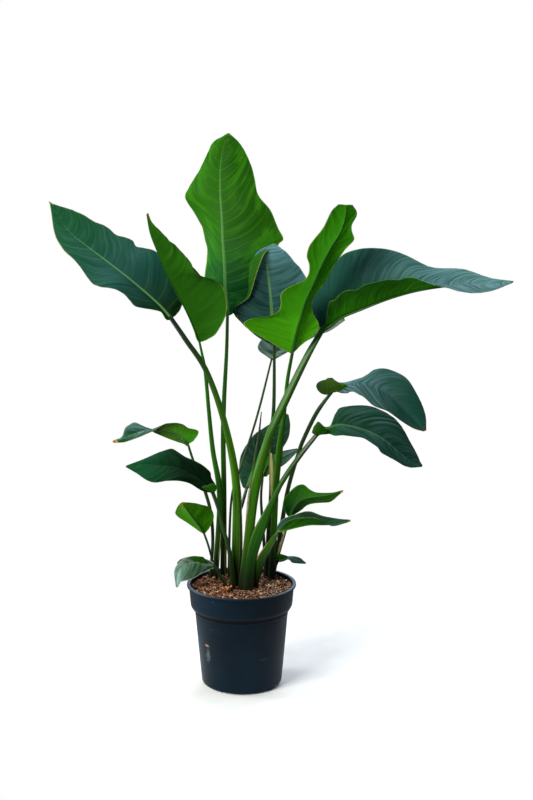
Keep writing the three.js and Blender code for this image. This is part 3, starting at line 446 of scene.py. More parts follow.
# How every blade is built. Lengths are in mm, the rest are shares.
bladeSet = {
    "rowStep": 1.9,  # between the mesh's rows, which run along the lateral veins
    "veinLean": 0.76,  # how far a lateral vein runs towards the tip, most of all at half the length
    "veinBend": 1.6,  # above 1 it leaves the midrib squarely and bends towards the tip
    "thickness": 0.95, "edgeThickness": 0.5,
    "arch": 0.06, "waveReach": 0.035, "waveOffset": 2, "waveRise": 1.76,
    "ribHalfWidth": 2.6, "ribTaper": 0.7, "ribRise": 0.7, "ribFrom": 0.4,
    "pleats": ((31, 1.1), (11, 0.5), (5.2, 0.18)),  # spacing and height
    "pleatDip": 0.7, "pleatStart": (0.03, 0.3), "pleatWidth": 45,  # narrower blades are pleated less
    "ruffles": ((58, 2.0), (24, 0.9)),  # spacing and reach of the margin's own waves
    "ruffleWidth": 60,
    "foldRound": 0.16, "foldMiddle": 0.55, "foldWave": 0.35, "foldOuter": 1.03, "foldWidth": 1.4,
    "baseRound": 0.022, "baseStart": 0.5,  # length over which the foot rounds in, and its first width
    # the mesh's columns: those beside the midrib, where their band ends, the rest and the margin's own
    "ribColumns": (0, 0.22, 0.42, 0.66, 1), "ribBand": 4.16, "ribBandTaper": 0.6, "ribBandMost": 0.35,
    "columns": (0.06, 0.14, 0.23, 0.33, 0.43, 0.54, 0.64, 0.74, 0.83, 0.91, 0.965),
    "edgeBand": 1.2, "edgeBandMost": 0.02,
}

# How every stalk is built, in mm and shares, and the middle of each clump, where the channels face.
stalkSet = {
    "sides": 28, "rowStep": 5, "start": 200,
    "channelWidth": 0.62,  # cosine of the angle from the inner face to the channel's edge
    "channelDepth": 0.26, "channelFade": 60, "channelTurn": (300, 700),
    "shoulderShift": 0.08, "shoulderWidth": 0.09,
    "keelBlend": 0.8, "keelEnd": 0.985, "keelTaper": 0.8, "keelSink": 0.25, "keelSinkOver": 0.07,
    "keelSizes": ((0.25, 0.2, 0.5), (0.45, 0.15, 0.4)),  # width and depth: loss, over what share, least
    "clumps": {"left": (-48, 70), "front": (5, -8), "right": (62, 66)},
}


def smoothFold(corners, distance, rounding):
    # a place along bent lines, with the bends rounded by averaging a short stretch
    lengths = [np.linalg.norm(b - a, axis=-1) for a, b in zip(corners, corners[1:])]
    total = sum(lengths)
    reach = np.minimum(np.minimum(distance * total, (1 - distance) * total), rounding)
    result = 0
    for shift in (-1, -0.5, 0, 0.5, 1):
        left = np.clip(distance * total + shift * reach, 0, total)
        point = corners[0].copy()
        for a, b, length in zip(corners, corners[1:], lengths):
            share = np.clip(left / np.maximum(length, 1e-6), 0, 1)
            point = point + (b - a) * share[..., None]
            left = np.maximum(left - length, 0)
        result = result + 0.2 * point
    return result


def trimmed(leaf, side, t):
    # the margin's own bumps and notches, as a factor on the reach, from (share along, factor) pairs
    pairs = np.array([(0, 1), *leaf.get("leftTrim" if side < 0 else "rightTrim", ()), (1, 1)], float)
    place = np.interp(t, pairs[:, 0], np.linspace(0, 1, len(pairs)))
    ahead = np.clip(1 - t / leaf.get("baseRound", bladeSet["baseRound"]), 0, 1)
    start = leaf.get("baseStart", bladeSet["baseStart"])
    foot = start + (1 - start) * np.sqrt(1 - ahead ** 2)
    return curveThrough(pairs[:, 1:2], place) * foot[..., None]


def halfReach(rows, side, t):
    return curveThrough(rows[:, 3:6] if side < 0 else rows[:, 6:9], t)


def halfBlade(leaf, side, t, share):
    # points of one half of a blade at places t along it and shares from the midrib to the margin
    s, rows = bladeSet, np.array(leaf["blade"], float)
    rib = curveThrough(rows[:, 0:3], t)
    before, after = curveThrough(rows[:, 0:3], t - 0.002), curveThrough(rows[:, 0:3], t + 0.002)
    reach = halfReach(rows, side, t) * trimmed(leaf, side, t)
    normal = unit(np.cross(reach, after - before)) * side
    width = np.linalg.norm(reach, axis=-1)
    phase = 0 if side < 0 else s["waveOffset"]
    wave = s["waveReach"] * np.sin(np.pi * t) * np.sin(2 * np.pi * leaf["waves"] * t + phase)
    if side < 0 and rows.shape[1] > 9:
        lift = width * (s["arch"] + wave * s["foldWave"])
        middle = rib + reach * s["foldMiddle"] + normal * lift[..., None]
        outer = rib + reach * s["foldOuter"] + normal * (width * wave)[..., None]
        corners = [rib, middle, outer, rib + curveThrough(rows[:, 9:12], t)]
        return smoothFold(corners, share, width * s["foldRound"]), width * s["foldWidth"]
    lift = s["arch"] * np.sin(np.pi * share) + wave * share ** s["waveRise"]
    return rib + reach * share[..., None] + normal * (width * lift)[..., None], width


def bladeColumns(width, t):
    # shares from midrib to margin: close by the midrib and the edge, wider between
    s, width = bladeSet, width[:, None]
    near = np.minimum(s["ribBand"] * (1 - s["ribBandTaper"] * t[:, None]), s["ribBandMost"] * width) / width
    outer = near + (1 - near) * np.array(s["columns"])
    edge = 1 - np.minimum(s["edgeBand"] / width, s["edgeBandMost"])
    return np.hstack([near * np.array(s["ribColumns"]), outer, edge, np.ones_like(edge)])


def gridNormals(points):
    # normals of a grid of points, towards the leaf's upper face
    return unit(np.cross(np.gradient(points, axis=1), np.gradient(points, axis=0)))


def bladeGrid(leaf, seed):
    # the middle surface of a blade: rows along the lateral veins, columns from margin to margin
    s, rows = bladeSet, np.array(leaf["blade"], float)
    length = stepLengths(rows[:, 0:3]).sum()
    along = np.linspace(0, 1, int(length / s["rowStep"]) + 2)
    halves = []
    for side in (-1, 1):
        width = np.maximum(np.linalg.norm(halfReach(rows, side, along), axis=1), 1)
        share = bladeColumns(width, along)
        t = along[:, None] + s["veinLean"] * (along * (1 - along))[:, None] * share ** s["veinBend"]
        points, wide = halfBlade(leaf, side, t, share)
        halves.append((points, share, t, share * wide, (1 - share) * wide))
    points, share, t, ribMm, edgeMm = (
        np.concatenate([left[:, ::-1], right[:, 1:]], axis=1) for left, right in zip(*halves))
    side = np.sign(np.arange(points.shape[1]) - halves[0][1].shape[1] + 1)
    veins = np.repeat((along * length)[:, None], points.shape[1], axis=1)
    lift = np.zeros_like(ribMm)
    pleated = smoothStep(*s["pleatStart"], share) * np.minimum(1, (ribMm + edgeMm) / s["pleatWidth"])
    ruffled = share ** 3 * np.sin(np.pi * np.clip(t, 0, 1)) ** 0.5
    ruffled = ruffled * np.minimum(1, (ribMm + edgeMm) / s["ruffleWidth"])
    for sign in (-1, 1):
        draws = seed * 20 + (sign > 0)  # every set of waves has its own draws, in each half of each leaf
        for number, (spacing, height) in enumerate(s["pleats"]):
            waves = wander(draws + number * 2, length, spacing, veins)
            lift += height * (2 * np.abs(waves) - s["pleatDip"]) * pleated * (side == sign)
        for number, (spacing, height) in enumerate(s["ruffles"]):
            waves = wander(draws + 9 + number * 2, length, spacing, veins)
            lift += height * waves * ruffled * (side == sign)
    points = points + gridNormals(points) * lift[..., None]
    return {"points": points, "across": share * side, "along": t, "vein": veins,
            "ribMm": ribMm, "edgeMm": edgeMm}


def bladeShell(grid, seed):
    # a thin closed shell around the middle surface, with the midrib raised a little on top
    s, points, normals = bladeSet, grid["points"], gridNormals(grid["points"])
    shape, share = points.shape[:2], np.abs(grid["across"])
    thick = s["thickness"] + (s["edgeThickness"] - s["thickness"]) * share
    narrow = s["ribHalfWidth"] * (1 - s["ribTaper"] * grid["along"])
    rise = s["ribRise"] * (1 - grid["along"]) * (1 - smoothStep(s["ribFrom"], 1, grid["ribMm"] / narrow))
    sides = [points + normals * (thick / 2 + rise)[..., None], points - normals * (thick / 2)[..., None]]
    # each leaf's veins and patches begin at a place of their own
    place = overGrid(shape, grid["across"], grid["along"], grid["vein"] + 700 * seed)
    edge = overGrid(shape, grid["ribMm"], grid["edgeMm"], seed * 3.7)
    upper, lower, rim = shellFaces(*shape)
    kinds = [0] * len(upper) + [1] * len(lower) + [0] * len(rim)
    return (np.concatenate([part.reshape(-1, 3) for part in sides]), upper + lower + rim, kinds,
            np.concatenate([place] * 2), np.concatenate([edge] * 2))


def stalkPath(leaf):
    # the rings of a stalk from the soil up, and on into the midrib's keel where there is a blade
    s, rows = stalkSet, np.array(leaf["stalk"], float)
    length = stepLengths(rows[:, 0:3]).sum()
    t = np.linspace(0, 1, int(length / s["rowStep"]) + 2)
    middle, sizes = curveThrough(rows[:, 0:3], t), curveThrough(rows[:, 3:5], t)
    sideways = unit(np.cross([0, 1, 0], unit(np.gradient(middle, axis=0))))
    inner = np.tile([0.0, 0, 1], (len(t), 1))
    if "blade" in leaf:
        blade = np.array(leaf["blade"], float)
        u = np.linspace(0, s["keelEnd"], int(stepLengths(blade[:, 0:3]).sum() / s["rowStep"]) + 2)
        rib = curveThrough(blade[:, 0:3], u)
        ribTangent = unit(np.gradient(rib, axis=0))
        up = unit(np.cross(halfReach(blade, 1, u) - halfReach(blade, -1, u), ribTangent))
        right = unit(np.cross(ribTangent, up))
        right *= np.sign((right[0] * sideways[-1]).sum())
        keel = np.stack([end * (1 - loss * smoothStep(0, over, u)) * (1 - u) ** s["keelTaper"] + least
                         for end, (loss, over, least) in zip(sizes[-1], s["keelSizes"])], axis=1)
        sink = smoothStep(0, s["keelSinkOver"], u) * (keel[:, 1] / 2 - s["keelSink"])
        blend = smoothStep(s["keelBlend"], 1, t)[:, None]
        middle = np.vstack([middle, (rib - up * sink[:, None])[1:]])
        sideways = np.vstack([unit(sideways * (1 - blend) + right[0] * blend), right[1:]])
        sizes = np.vstack([sizes, keel[1:]])
        inner = np.vstack([np.tile(up[0], (len(t), 1)), up[1:]])
    start = int(np.argmax(middle[:, 2] > s["start"]))
    middle, sideways = middle[start:], sideways[start:]
    tangent = unit(np.gradient(middle, axis=0))
    return {"middle": middle, "tangent": tangent, "sideways": sideways,
            "forward": unit(np.cross(tangent, sideways)), "sizes": sizes[start:], "inner": inner[start:],
            "run": np.r_[0, np.cumsum(stepLengths(middle))], "length": length}


def aroundStalk(path, turn, wide=1.0, deep=1.0):
    # the directions around each ring, stretched to its width and depth
    return (path["sideways"][:, None] * (np.cos(turn) * wide)[..., None]
            + path["forward"][:, None] * (np.sin(turn) * deep)[..., None])


def makeStalk(leaf):
    # an oval tube with a shallow channel down its inner face, ending in the keel under the blade
    s, path = stalkSet, stalkPath(leaf)
    middle, sizes, run = path["middle"], path["sizes"], path["run"]
    foot = Vector(leaf["stalk"][1][:2])
    clump = min(s["clumps"].values(), key=lambda centre: (foot - Vector(centre)).length)
    toCentre = np.array([*clump, 0.0]) - middle * [1, 1, 0]
    blend = smoothStep(*s["channelTurn"], middle[:, 2:])
    inner = unit(unit(toCentre) * (1 - blend) + path["inner"] * blend)
    turn = (np.arange(s["sides"]) + 0.5) / s["sides"] * 2 * np.pi
    facing = (aroundStalk(path, turn) * inner[:, None]).sum(axis=2)
    fade = smoothStep(0, s["channelFade"], path["length"] + s["channelFade"] - run)[:, None]
    channel = 1 - s["channelDepth"] * fade * smoothStep(s["channelWidth"], 1, facing)
    shoulder = np.exp(-((facing - s["channelWidth"] + s["shoulderShift"]) / s["shoulderWidth"]) ** 2)
    spokes = aroundStalk(path, turn, sizes[:, :1] / 2, sizes[:, 1:] / 2)
    points = middle[:, None] + spokes * channel[..., None]
    place = overGrid(facing.shape, turn * 10, middle[:, 2:], run[:, None])
    edge = overGrid(facing.shape, shoulder, facing, (run / path["length"])[:, None])
    return points.reshape(-1, 3), tubeFaces(*facing.shape), place, edge


# The plant's colours: every leaf and stalk draws on these and on no others.
# the two wax tones are partly the leaf's blue-grey wax bloom and partly painted sky sheen
leafTones = {
    "shadow": "#08200a", "forest": "#0c3c16", "deep": "#14502a", "mature": "#265e0e", "fresh": "#30800a",
    "lime": "#4ca810", "bright": "#66c41c", "teal": "#1c4a40", "waxSheen": "#3c6866", "paleWaxSheen": "#78a698",
    "olive": "#44661c", "straw": "#a8b850", "rib": "#5a8a48", "margin": "#8aa03a", "frost": "#c4d2c4",
    "moss": "#2c4620", "dry": "#52321e", "rust": "#a04418", "gold": "#c4ac12", "haze": "#7fa6b0",
    "creaseShadow": "#06160a", "plum": "#3a2c34", "peat": "#16170c", "papery": "#dedc98", "husk": "#b0a078",
    "tan": "#7e6440", "amber": "#d07a34", "stem": "#336808",
}


def leafTone(name, strength=1.0):
    red, green, blue, alpha = hexColour(leafTones[name])
    return red * strength, green * strength, blue * strength, alpha


# What each upper face looks like unless its leaf says otherwise. Widths and spacings are in mm: the
# finest veins are 1 mm apart on the plant, drawn 3 mm apart so that they show. The rest are shares.
upperLook = {
    # tones darken towards the foot partly as painted shade; the two halves' factors are painted light and
    # shade
    "tones": ("forest", "deep", "mature"), "halves": (1.0, 1.0),  # foot to tip; left and right half
    "fineVein": 3.0, "vein": 6.0, "band": 30.0, "veinDark": 0.14, "uneven": 0.08, "relief": 0.3,
    # the line colour is painted shade for the pleats' creases
    "streak": 0.1, "glow": "fresh", "line": 0.4, "creaseShadeColour": "creaseShadow",
    "pale": 0.0, "paleGap": 37.0, "paleColour": "rib",
    "ribWidth": 3.4, "rib": 0.8, "ribColour": "rib",
    "edge": "olive", "edgeDry": "dry", "edgeShare": 0.7, "edgeTurn": 0.6,
    "tipStart": 0.994, "tip": "margin", "tipDry": "dry",
    "bloomColour": "haze", "bloom": 0.06, "bloomFrom": 0.1,  # from where a face counts as turned upwards
    "bloomOut": -0.2, "bloomFull": 0.0, "bloomBase": -0.2,  # the places along the leaf where it sets in
    "roughness": 0.42, "specular": 0.05, "through": 0.12,
}
underLook = {
    **upperLook, "tones": ("mature", "mature", "fresh"), "glow": "lime", "line": 0.2, "veinDark": 0.1,
    "uneven": 0.1, "ribWidth": 5.0, "rib": 0.5, "relief": 0.2, "roughness": 0.52, "bloom": 0.0,
    "bloomFrom": 0.3, "creaseShadeColour": "shadow", "through": 0.28,
}


def makeLeafFace(name, look):
    # paddle leaf of a bird of paradise, leathery with a thin wax bloom: satin green with close
    # parallel veins from the midrib to the margin, blue-grey where the bloom faces the sky, which is
    # partly the wax and partly a painted sky sheen
    material, tree = startMaterial(name)
    place = addNode(tree, "Attribute", attribute_name="leafPlace").outputs["Vector"]
    edges = addNode(tree, "Attribute", attribute_name="leafEdge").outputs["Vector"]
    side, along, alongVein = addNode(tree, "SeparateXYZ", (place,)).outputs
    fromRib, fromEdge = addNode(tree, "SeparateXYZ", (edges,)).outputs[:2]
    outwards = addNode(tree, "Math", (side,), operation="ABSOLUTE")
    # streaks along the veins: a vector that hardly changes across the leaf and quickly along it
    streaks = []
    for spacing, crossing in ((look["fineVein"], 1.5), (look["vein"], 1.2), (look["band"], 1.6)):
        drawn = addNode(tree, "VectorMath", (place, (crossing, 0.3, 1 / spacing)), operation="MULTIPLY")
        streaks.append(addNode(tree, "TexNoise", {
            "Vector": drawn, "Scale": 1.0, "Detail": 2.0, "Roughness": 0.5}))
    fine, middling, broad = streaks
    moved = addNode(tree, "VectorMath", (place, edges), operation="ADD")
    spread = addNode(tree, "VectorMath", (moved, (2.2, 5.0, 0.0)), operation="MULTIPLY")
    patches = addNode(tree, "TexNoise", {"Vector": spread, "Scale": 1.0, "Detail": 2.0})
    patchMask = addNode(tree, "MapRange", (patches, 0.42, 0.6, 0.0, 1.0))
    # the leaf ages from its tip to its foot and is painted darker at the foot for the shade there, and its
    # two halves hang differently, so each half is painted lighter or darker for the light it gets
    half = addNode(tree, "MapRange", (side, -0.15, 0.15, *look["halves"]), interpolation_type="SMOOTHSTEP")
    ground = addNode(tree, "ValToRGB", (along,), [
        (where, leafTone(tone)) for where, tone in zip((0.08, 0.42, 0.85), look["tones"])])
    # fine veins side by side, and broader uneven streaks
    wobble = addNode(tree, "Math", (broad, 5.0, alongVein), operation="MULTIPLY_ADD")
    beat = addNode(tree, "Math", (wobble, look["vein"] / 2), operation="PINGPONG")
    veinShade = addNode(tree, "MapRange", (beat, 0.0, look["vein"] * 0.16, 1 - look["veinDark"], 1.0))
    streakShade = addNode(tree, "MapRange", (middling, 0.25, 0.75, 1 - look["uneven"], 1 + look["uneven"]))
    uneven = addNode(tree, "Math", (veinShade, streakShade), operation="MULTIPLY")
    strength = addNode(tree, "Math", (uneven, half), operation="MULTIPLY")
    colour = addNode(tree, "VectorMath", {0: ground, "Scale": strength}, operation="SCALE")
    # light that comes through the young tissue, in streaks between the stronger veins
    glowStreak = addNode(tree, "MapRange", (broad, 0.48, 0.6, 0.0, look["streak"]))
    glowFade = addNode(tree, "MapRange", (outwards, 0.1, 0.6, 0.25, 1.0))
    glowShare = addNode(tree, "Math", (glowStreak, patchMask), operation="MULTIPLY")
    glow = addNode(tree, "Math", (glowShare, glowFade), operation="MULTIPLY")
    # painted shade: thin dark lines where the pleats fold, mostly in the outer half
    offLine = addNode(tree, "Math", (middling, 0.5), operation="SUBTRACT")
    lineGap = addNode(tree, "Math", (offLine,), operation="ABSOLUTE")
    lineMask = addNode(tree, "MapRange", (lineGap, 0.0, 0.02, 1.0, 0.0))
    lineFade = addNode(tree, "MapRange", (outwards, 0.15, 0.8, 0.0, look["line"]))
    creaseShade = addNode(tree, "Math", (lineMask, lineFade), operation="MULTIPLY")
    # a few stronger veins catch the light as thin pale lines
    paleBeat = addNode(tree, "Math", (wobble, look["paleGap"] / 2), operation="PINGPONG")
    paleLine = addNode(tree, "MapRange", (paleBeat, 0.4, 1.5, look["pale"], 0.0))
    paleMask = addNode(tree, "Math", (paleLine, patchMask), operation="MULTIPLY")
    # the pale midrib, narrowing to the tip
    ribWidth = addNode(tree, "MapRange", (along, 0.0, 1.0, look["ribWidth"], 0.4))
    ribShare = addNode(tree, "Math", (fromRib, ribWidth), operation="DIVIDE")
    ribFade = addNode(tree, "MapRange", (along, 0.6, 0.97, look["rib"], 0.15))
    ribMask = addNode(tree, "MapRange", (ribShare, 0.6, 1.3, ribFade, 0.0), interpolation_type="SMOOTHSTEP")
    # thin translucent margin, browned in places
    edgeMask = addNode(tree, "MapRange", (fromEdge, 0.6, 2.6, look["edgeShare"], 0.0),
                       interpolation_type="SMOOTHSTEP")
    edgePlace = addNode(tree, "Math", (patches, 0.5, along), operation="MULTIPLY_ADD")
    edgeStart = addNode(tree, "Math", (edgePlace, 0.25), operation="SUBTRACT")
    edge = addNode(tree, "ValToRGB", (edgeStart,), [
        (look["edgeTurn"] - 0.08, leafTone(look["edge"])),
        (look["edgeTurn"] + 0.08, leafTone(look["edgeDry"]))])
    # the dry tip, with an uneven border
    tipBlur = addNode(tree, "MapRange", (middling, 0.3, 0.7, -0.012, 0.012))
    tipPlace = addNode(tree, "Math", (along, tipBlur), operation="ADD")
    tipMask = addNode(tree, "ValToRGB", (tipPlace,), [
        (look["tipStart"] - 0.015, (0, 0, 0, 1)), (look["tipStart"], (1, 1, 1, 1))])
    tip = addNode(tree, "ValToRGB", (tipPlace,), [
        (look["tipStart"], leafTone(look["tip"])),
        (min(look["tipStart"] + 0.02, 1), leafTone(look["tipDry"]))])
    # wax bloom with a painted sky sheen, pale blue-grey, thickest where the leaf lies open to the sky
    normal = addNode(tree, "NewGeometry").outputs["Normal"]
    facing = addNode(tree, "VectorMath", (normal, (-0.25, -0.25, 0.93)), operation="DOT_PRODUCT")
    turned, base = look["bloomFrom"], look["bloomBase"]
    bloom = addNode(tree, "MapRange", (facing, turned, turned + 0.75, 0.0, look["bloom"]))
    for source, low, high, least in (
            (middling, 0.36, 0.62, 0.1), (along, look["bloomOut"], look["bloomFull"], 0.0),
            (along, base, base + 0.1, 0.0)):
        share = addNode(tree, "MapRange", (source, low, high, least, 1.0))
        bloom = addNode(tree, "Math", (bloom, share), operation="MULTIPLY")
    # each layer goes over the ones before it
    for mask, layer in ((glow, look["glow"]), (creaseShade, look["creaseShadeColour"]), (paleMask, look["paleColour"]),
                        (ribMask, look["ribColour"]), (edgeMask, edge), (tipMask, tip),
                        (bloom, look["bloomColour"])):
        tone = leafTone(layer) if isinstance(layer, str) else layer
        colour = addNode(tree, "Mix", {0: mask, 6: colour, 7: tone}, data_type="RGBA")
    # bump: fine veins and the softer swell of the tissue between them
    relief = addNode(tree, "Math", (fine, 0.35, middling), operation="MULTIPLY_ADD")
    bump = addNode(tree, "Bump", {"Height": relief, "Strength": look["relief"], "Distance": 0.0009})
    dullness = look["roughness"]
    gloss = addNode(tree, "MapRange", (broad, 0.3, 0.7, dullness - 0.06, dullness + 0.08))
    skin = addNode(tree, "BsdfPrincipled", {
        "Base Color": colour, "Roughness": gloss, "Normal": bump, "IOR": 1.45,
        "Specular IOR Level": look["specular"]})
    through = addNode(tree, "BsdfTranslucent", {"Color": colour, "Normal": bump})
    addNode(tree, "OutputMaterial", (addNode(tree, "MixShader", (look["through"], skin, through)),))
    return material


# What every stalk looks like besides its own two greens.
stalkLook = {
    "foot": "peat", "aboveFoot": "moss", "footHeights": (180.0, 400.0), "edge": "straw", "besideEdge": "plum",
    "relief": 0.3, "roughness": 0.34, "specular": 0.28,
}


def makeStalkSkin(name, low, high):
    # fleshy leaf stalk, waxy and lightly ribbed: nearly black at the foot, bright green above it and
    # duller towards the leaf, with thin papery edges to its channel where it clasps its neighbours
    s = stalkLook
    material, tree = startMaterial(name)
    place = addNode(tree, "Attribute", attribute_name="stalkPlace").outputs["Vector"]
    edges = addNode(tree, "Attribute", attribute_name="stalkEdge").outputs["Vector"]
    height = addNode(tree, "SeparateXYZ", (place,)).outputs["Y"]
    edgeParts = addNode(tree, "SeparateXYZ", (edges,)).outputs
    shoulder, upwards = edgeParts["X"], edgeParts["Z"]
    drawn = addNode(tree, "VectorMath", (place, (0.22, 0.0, 0.006)), operation="MULTIPLY")
    grain = addNode(tree, "TexNoise", {"Vector": drawn, "Scale": 1.0, "Detail": 3.0})
    # from the dark foot to the stalk's two greens, through darker copies of the lower green: the foot's own
    # dark colour with painted shade low in the clump
    unevenFoot = addNode(tree, "Math", (grain, -70.0, height), operation="MULTIPLY_ADD")
    aboveFoot = addNode(tree, "MapRange", (unevenFoot, *s["footHeights"]))
    foot = addNode(tree, "ValToRGB", (aboveFoot,), [
        (0.0, leafTone(s["foot"])), (0.14, leafTone(s["aboveFoot"], 0.3)), (0.38, leafTone(low, 0.55)),
        (0.7, leafTone(low))])
    upper = addNode(tree, "MapRange", (upwards, 0.45, 0.95, 0.0, 1.0), interpolation_type="SMOOTHSTEP")
    body = addNode(tree, "Mix", {0: upper, 6: foot, 7: leafTone(high)}, data_type="RGBA")
    ribs = addNode(tree, "ValToRGB", (grain,), [(0.36, (0.16, 0.16, 0.16, 1)), (0.64, (0.8, 0.8, 0.8, 1))])
    lighter = addNode(tree, "Mix", {0: 0.6, 6: body, 7: ribs}, data_type="RGBA", blend_type="OVERLAY")
    # the channel's edges: brown beside them, pale and broken along them, strongest low down
    beside = addNode(tree, "MapRange", (shoulder, 0.1, 0.6, 0.0, 0.4))
    brown = addNode(tree, "Mix", {0: beside, 6: lighter, 7: leafTone(s["besideEdge"], 0.6)}, data_type="RGBA")
    lowPart = addNode(tree, "MapRange", (upwards, 0.0, 0.75, 0.4, 0.05))
    broken = addNode(tree, "MapRange", (grain, 0.4, 0.6, 0.2, 1.0))
    paleShare = addNode(tree, "Math", (shoulder, lowPart), operation="MULTIPLY")
    paleMask = addNode(tree, "Math", (paleShare, broken), operation="MULTIPLY")
    pale = addNode(tree, "Mix", {0: paleMask, 6: brown, 7: leafTone(s["edge"], 0.85)}, data_type="RGBA")
    bump = addNode(tree, "Bump", {"Height": grain, "Strength": s["relief"], "Distance": 0.0008})
    skin = addNode(tree, "BsdfPrincipled", {
        "Base Color": pale, "Normal": bump, "Roughness": s["roughness"], "IOR": 1.45,
        "Specular IOR Level": s["specular"]})
    addNode(tree, "OutputMaterial", (skin,))
    return material


def makeLeaf(number, name, leaf):
    bladePoints, bladeFaces, kinds, *bladeValues = bladeShell(bladeGrid(leaf, number), number)
    stalkPoints, stalkFaces, *stalkValues = makeStalk(leaf)
    upper = {**upperLook, **leaf.get("upper", {})}
    under = {**underLook, "ribColour": leaf["skin"][0], **leaf.get("under", {})}
    materials = [makeLeafFace(name + "_satin_upper", upper), makeLeafFace(name + "_matt_underside", under),
                 makeStalkSkin(name + "_waxy_stalk", *leaf["skin"])]
    faces = bladeFaces + [[corner + len(bladePoints) for corner in face] for face in stalkFaces]
    kinds += [2] * len(stalkFaces)
    attributes = {}
    for title, values in zip(("leafPlace", "leafEdge"), bladeValues):
        attributes[title] = np.vstack([values, np.zeros_like(stalkPoints)])
    for title, values in zip(("stalkPlace", "stalkEdge"), stalkValues):
        attributes[title] = np.vstack([np.zeros_like(bladePoints), values])
    points = np.vstack([bladePoints, stalkPoints])
    piece = makeMesh(name + "_grown", points, faces, materials, kinds, **attributes)
    settle(piece, leaf["slot"], name)
    return len(faces)


spearSet = {
    "sides": 30, "twist": 0.012,  # turns of the free edge about the spear, in radians for each mm
    "step": 0.16, "stepHeights": (240, 300), "seamWidth": 0.35, "skin": ("mature", "plum"),
}


def makeSpear(name, leaf):
    # the youngest leaf, still rolled into a spear: its free edge winds round it as a low step
    s, path = spearSet, stalkPath(leaf)
    middle, sizes, run = path["middle"], path["sizes"], path["run"][:, None]
    turn = np.arange(s["sides"]) / s["sides"] * 2 * np.pi
    fromEdge = np.mod(turn[None, :] - run * s["twist"], 2 * np.pi)
    step = 1 - s["step"] * fromEdge / (2 * np.pi) * smoothStep(*s["stepHeights"], middle[:, 2:])
    points = middle[:, None] + step[..., None] * aroundStalk(path, turn, sizes[:, :1] / 2, sizes[:, 1:] / 2)
    seam = np.exp(-(fromEdge / s["seamWidth"]) ** 2)
    place = overGrid(seam.shape, turn * 10, middle[:, 2:], run)
    edge = overGrid(seam.shape, seam, seam, run / path["length"])
    piece = makeMesh(name + "_grown", points.reshape(-1, 3), tubeFaces(*seam.shape),
                     [makeStalkSkin(name + "_waxy_skin", *s["skin"])], stalkPlace=place, stalkEdge=edge)
    settle(piece, "rolled_leaf", name)


# Dried membranes that split from the stalks: the stalk, the heights between which it clings, the
# side it is on (degrees about the stalk, 0 towards +X and 90 towards the back), width, lift and colours.
sheathShapes = {
    "dry_sheath_middle": ("leaf_middle", (400, 510), -75, 12, 0.9, "papery", "tan"),
    "dry_sheath_right": ("leaf_right_green", (262, 430), -110, 6.5, 0.9, "papery", "tan"),
    "dry_sheath_low": ("leaf_right_low", (236, 330), -150, 3, 1, "husk", "tan"),
    "dry_sheath_long": ("leaf_right_long", (300, 470), -146, 2.6, 0.8, "husk", "dry"),
    "dry_sheath_tall": ("leaf_left_tall", (290, 430), -38, 2, 0.7, "husk", "plum"),
    "dry_sheath_left": ("leaf_left_folded", (250, 330), -60, 3, 0.7, "husk", "tan"),
}

# How a strip of dry tissue is built and what it looks like: spacing and thickness in mm, the rest shares.
stripSet = {
    "columns": 7, "waver": 0.25, "waverSpacing": 9, "bow": 0.12, "dip": 0.05, "halfThickness": 0.12,
    "relief": 0.4, "roughness": 0.7, "specular": 0.2, "through": 0.2,
}


def makeMembrane(name, colour, edge):
    # papery dried tissue: thin, matt, pale and fibrous along its length, browner at the rim
    s = stripSet
    material, tree = startMaterial(name)
    place = addNode(tree, "Attribute", attribute_name="strip").outputs["Vector"]
    across = addNode(tree, "SeparateXYZ", (place,)).outputs["X"]
    drawn = addNode(tree, "VectorMath", (place, (4.0, 0.03, 0.0)), operation="MULTIPLY")
    fibre = addNode(tree, "TexNoise", {"Vector": drawn, "Scale": 1.0, "Detail": 3.0})
    fromMiddle = addNode(tree, "Math", (across,), operation="ABSOLUTE")
    rim = addNode(tree, "Math", (fromMiddle, fibre), operation="ADD")
    rimShare = addNode(tree, "Math", (rim, 0.6), operation="MULTIPLY")
    tone = addNode(tree, "ValToRGB", (rimShare,), [
        (0.3, leafTone(colour)), (0.62, leafTone(colour, 0.85)), (0.82, leafTone(edge))])
    bump = addNode(tree, "Bump", {"Height": fibre, "Strength": s["relief"], "Distance": 0.0005})
    skin = addNode(tree, "BsdfPrincipled", {
        "Base Color": tone, "Normal": bump, "Roughness": s["roughness"], "Specular IOR Level": s["specular"]})
    through = addNode(tree, "BsdfTranslucent", {"Color": tone})
    addNode(tree, "OutputMaterial", (addNode(tree, "MixShader", (s["through"], skin, through)),))
    return material


def makeStrip(name, middle, outward, along, widths, material, slot, seed):
    # a thin closed ribbon along a row of points, bowed outwards, with a wavering edge
    s, columns = stripSet, np.linspace(-1, 1, stripSet["columns"])
    run = np.r_[0, np.cumsum(stepLengths(middle))]
    across = unit(np.cross(along, outward))
    waver = wander(seed, run[-1] + 20, s["waverSpacing"], run)
    half = (widths * (1 + s["waver"] * waver) / 2)[:, None, None]
    bow = (1 - columns ** 2)[None, :, None] * s["bow"] - (columns > 0.9)[None, :, None] * s["dip"]
    grid = middle[:, None] + across[:, None] * columns[None, :, None] * half
    grid = grid + outward[:, None] * bow * half * 2
    shape, lift = grid.shape[:2], outward[:, None] * s["halfThickness"]
    place = overGrid(shape, columns, run[:, None], seed * 5.0)
    upper, lower, rim = shellFaces(*shape)
    piece = makeMesh(name, np.vstack([(grid + lift).reshape(-1, 3), (grid - lift).reshape(-1, 3)]),
                     upper + lower + rim, [material], strip=np.vstack([place, place]))
    settle(piece, slot)


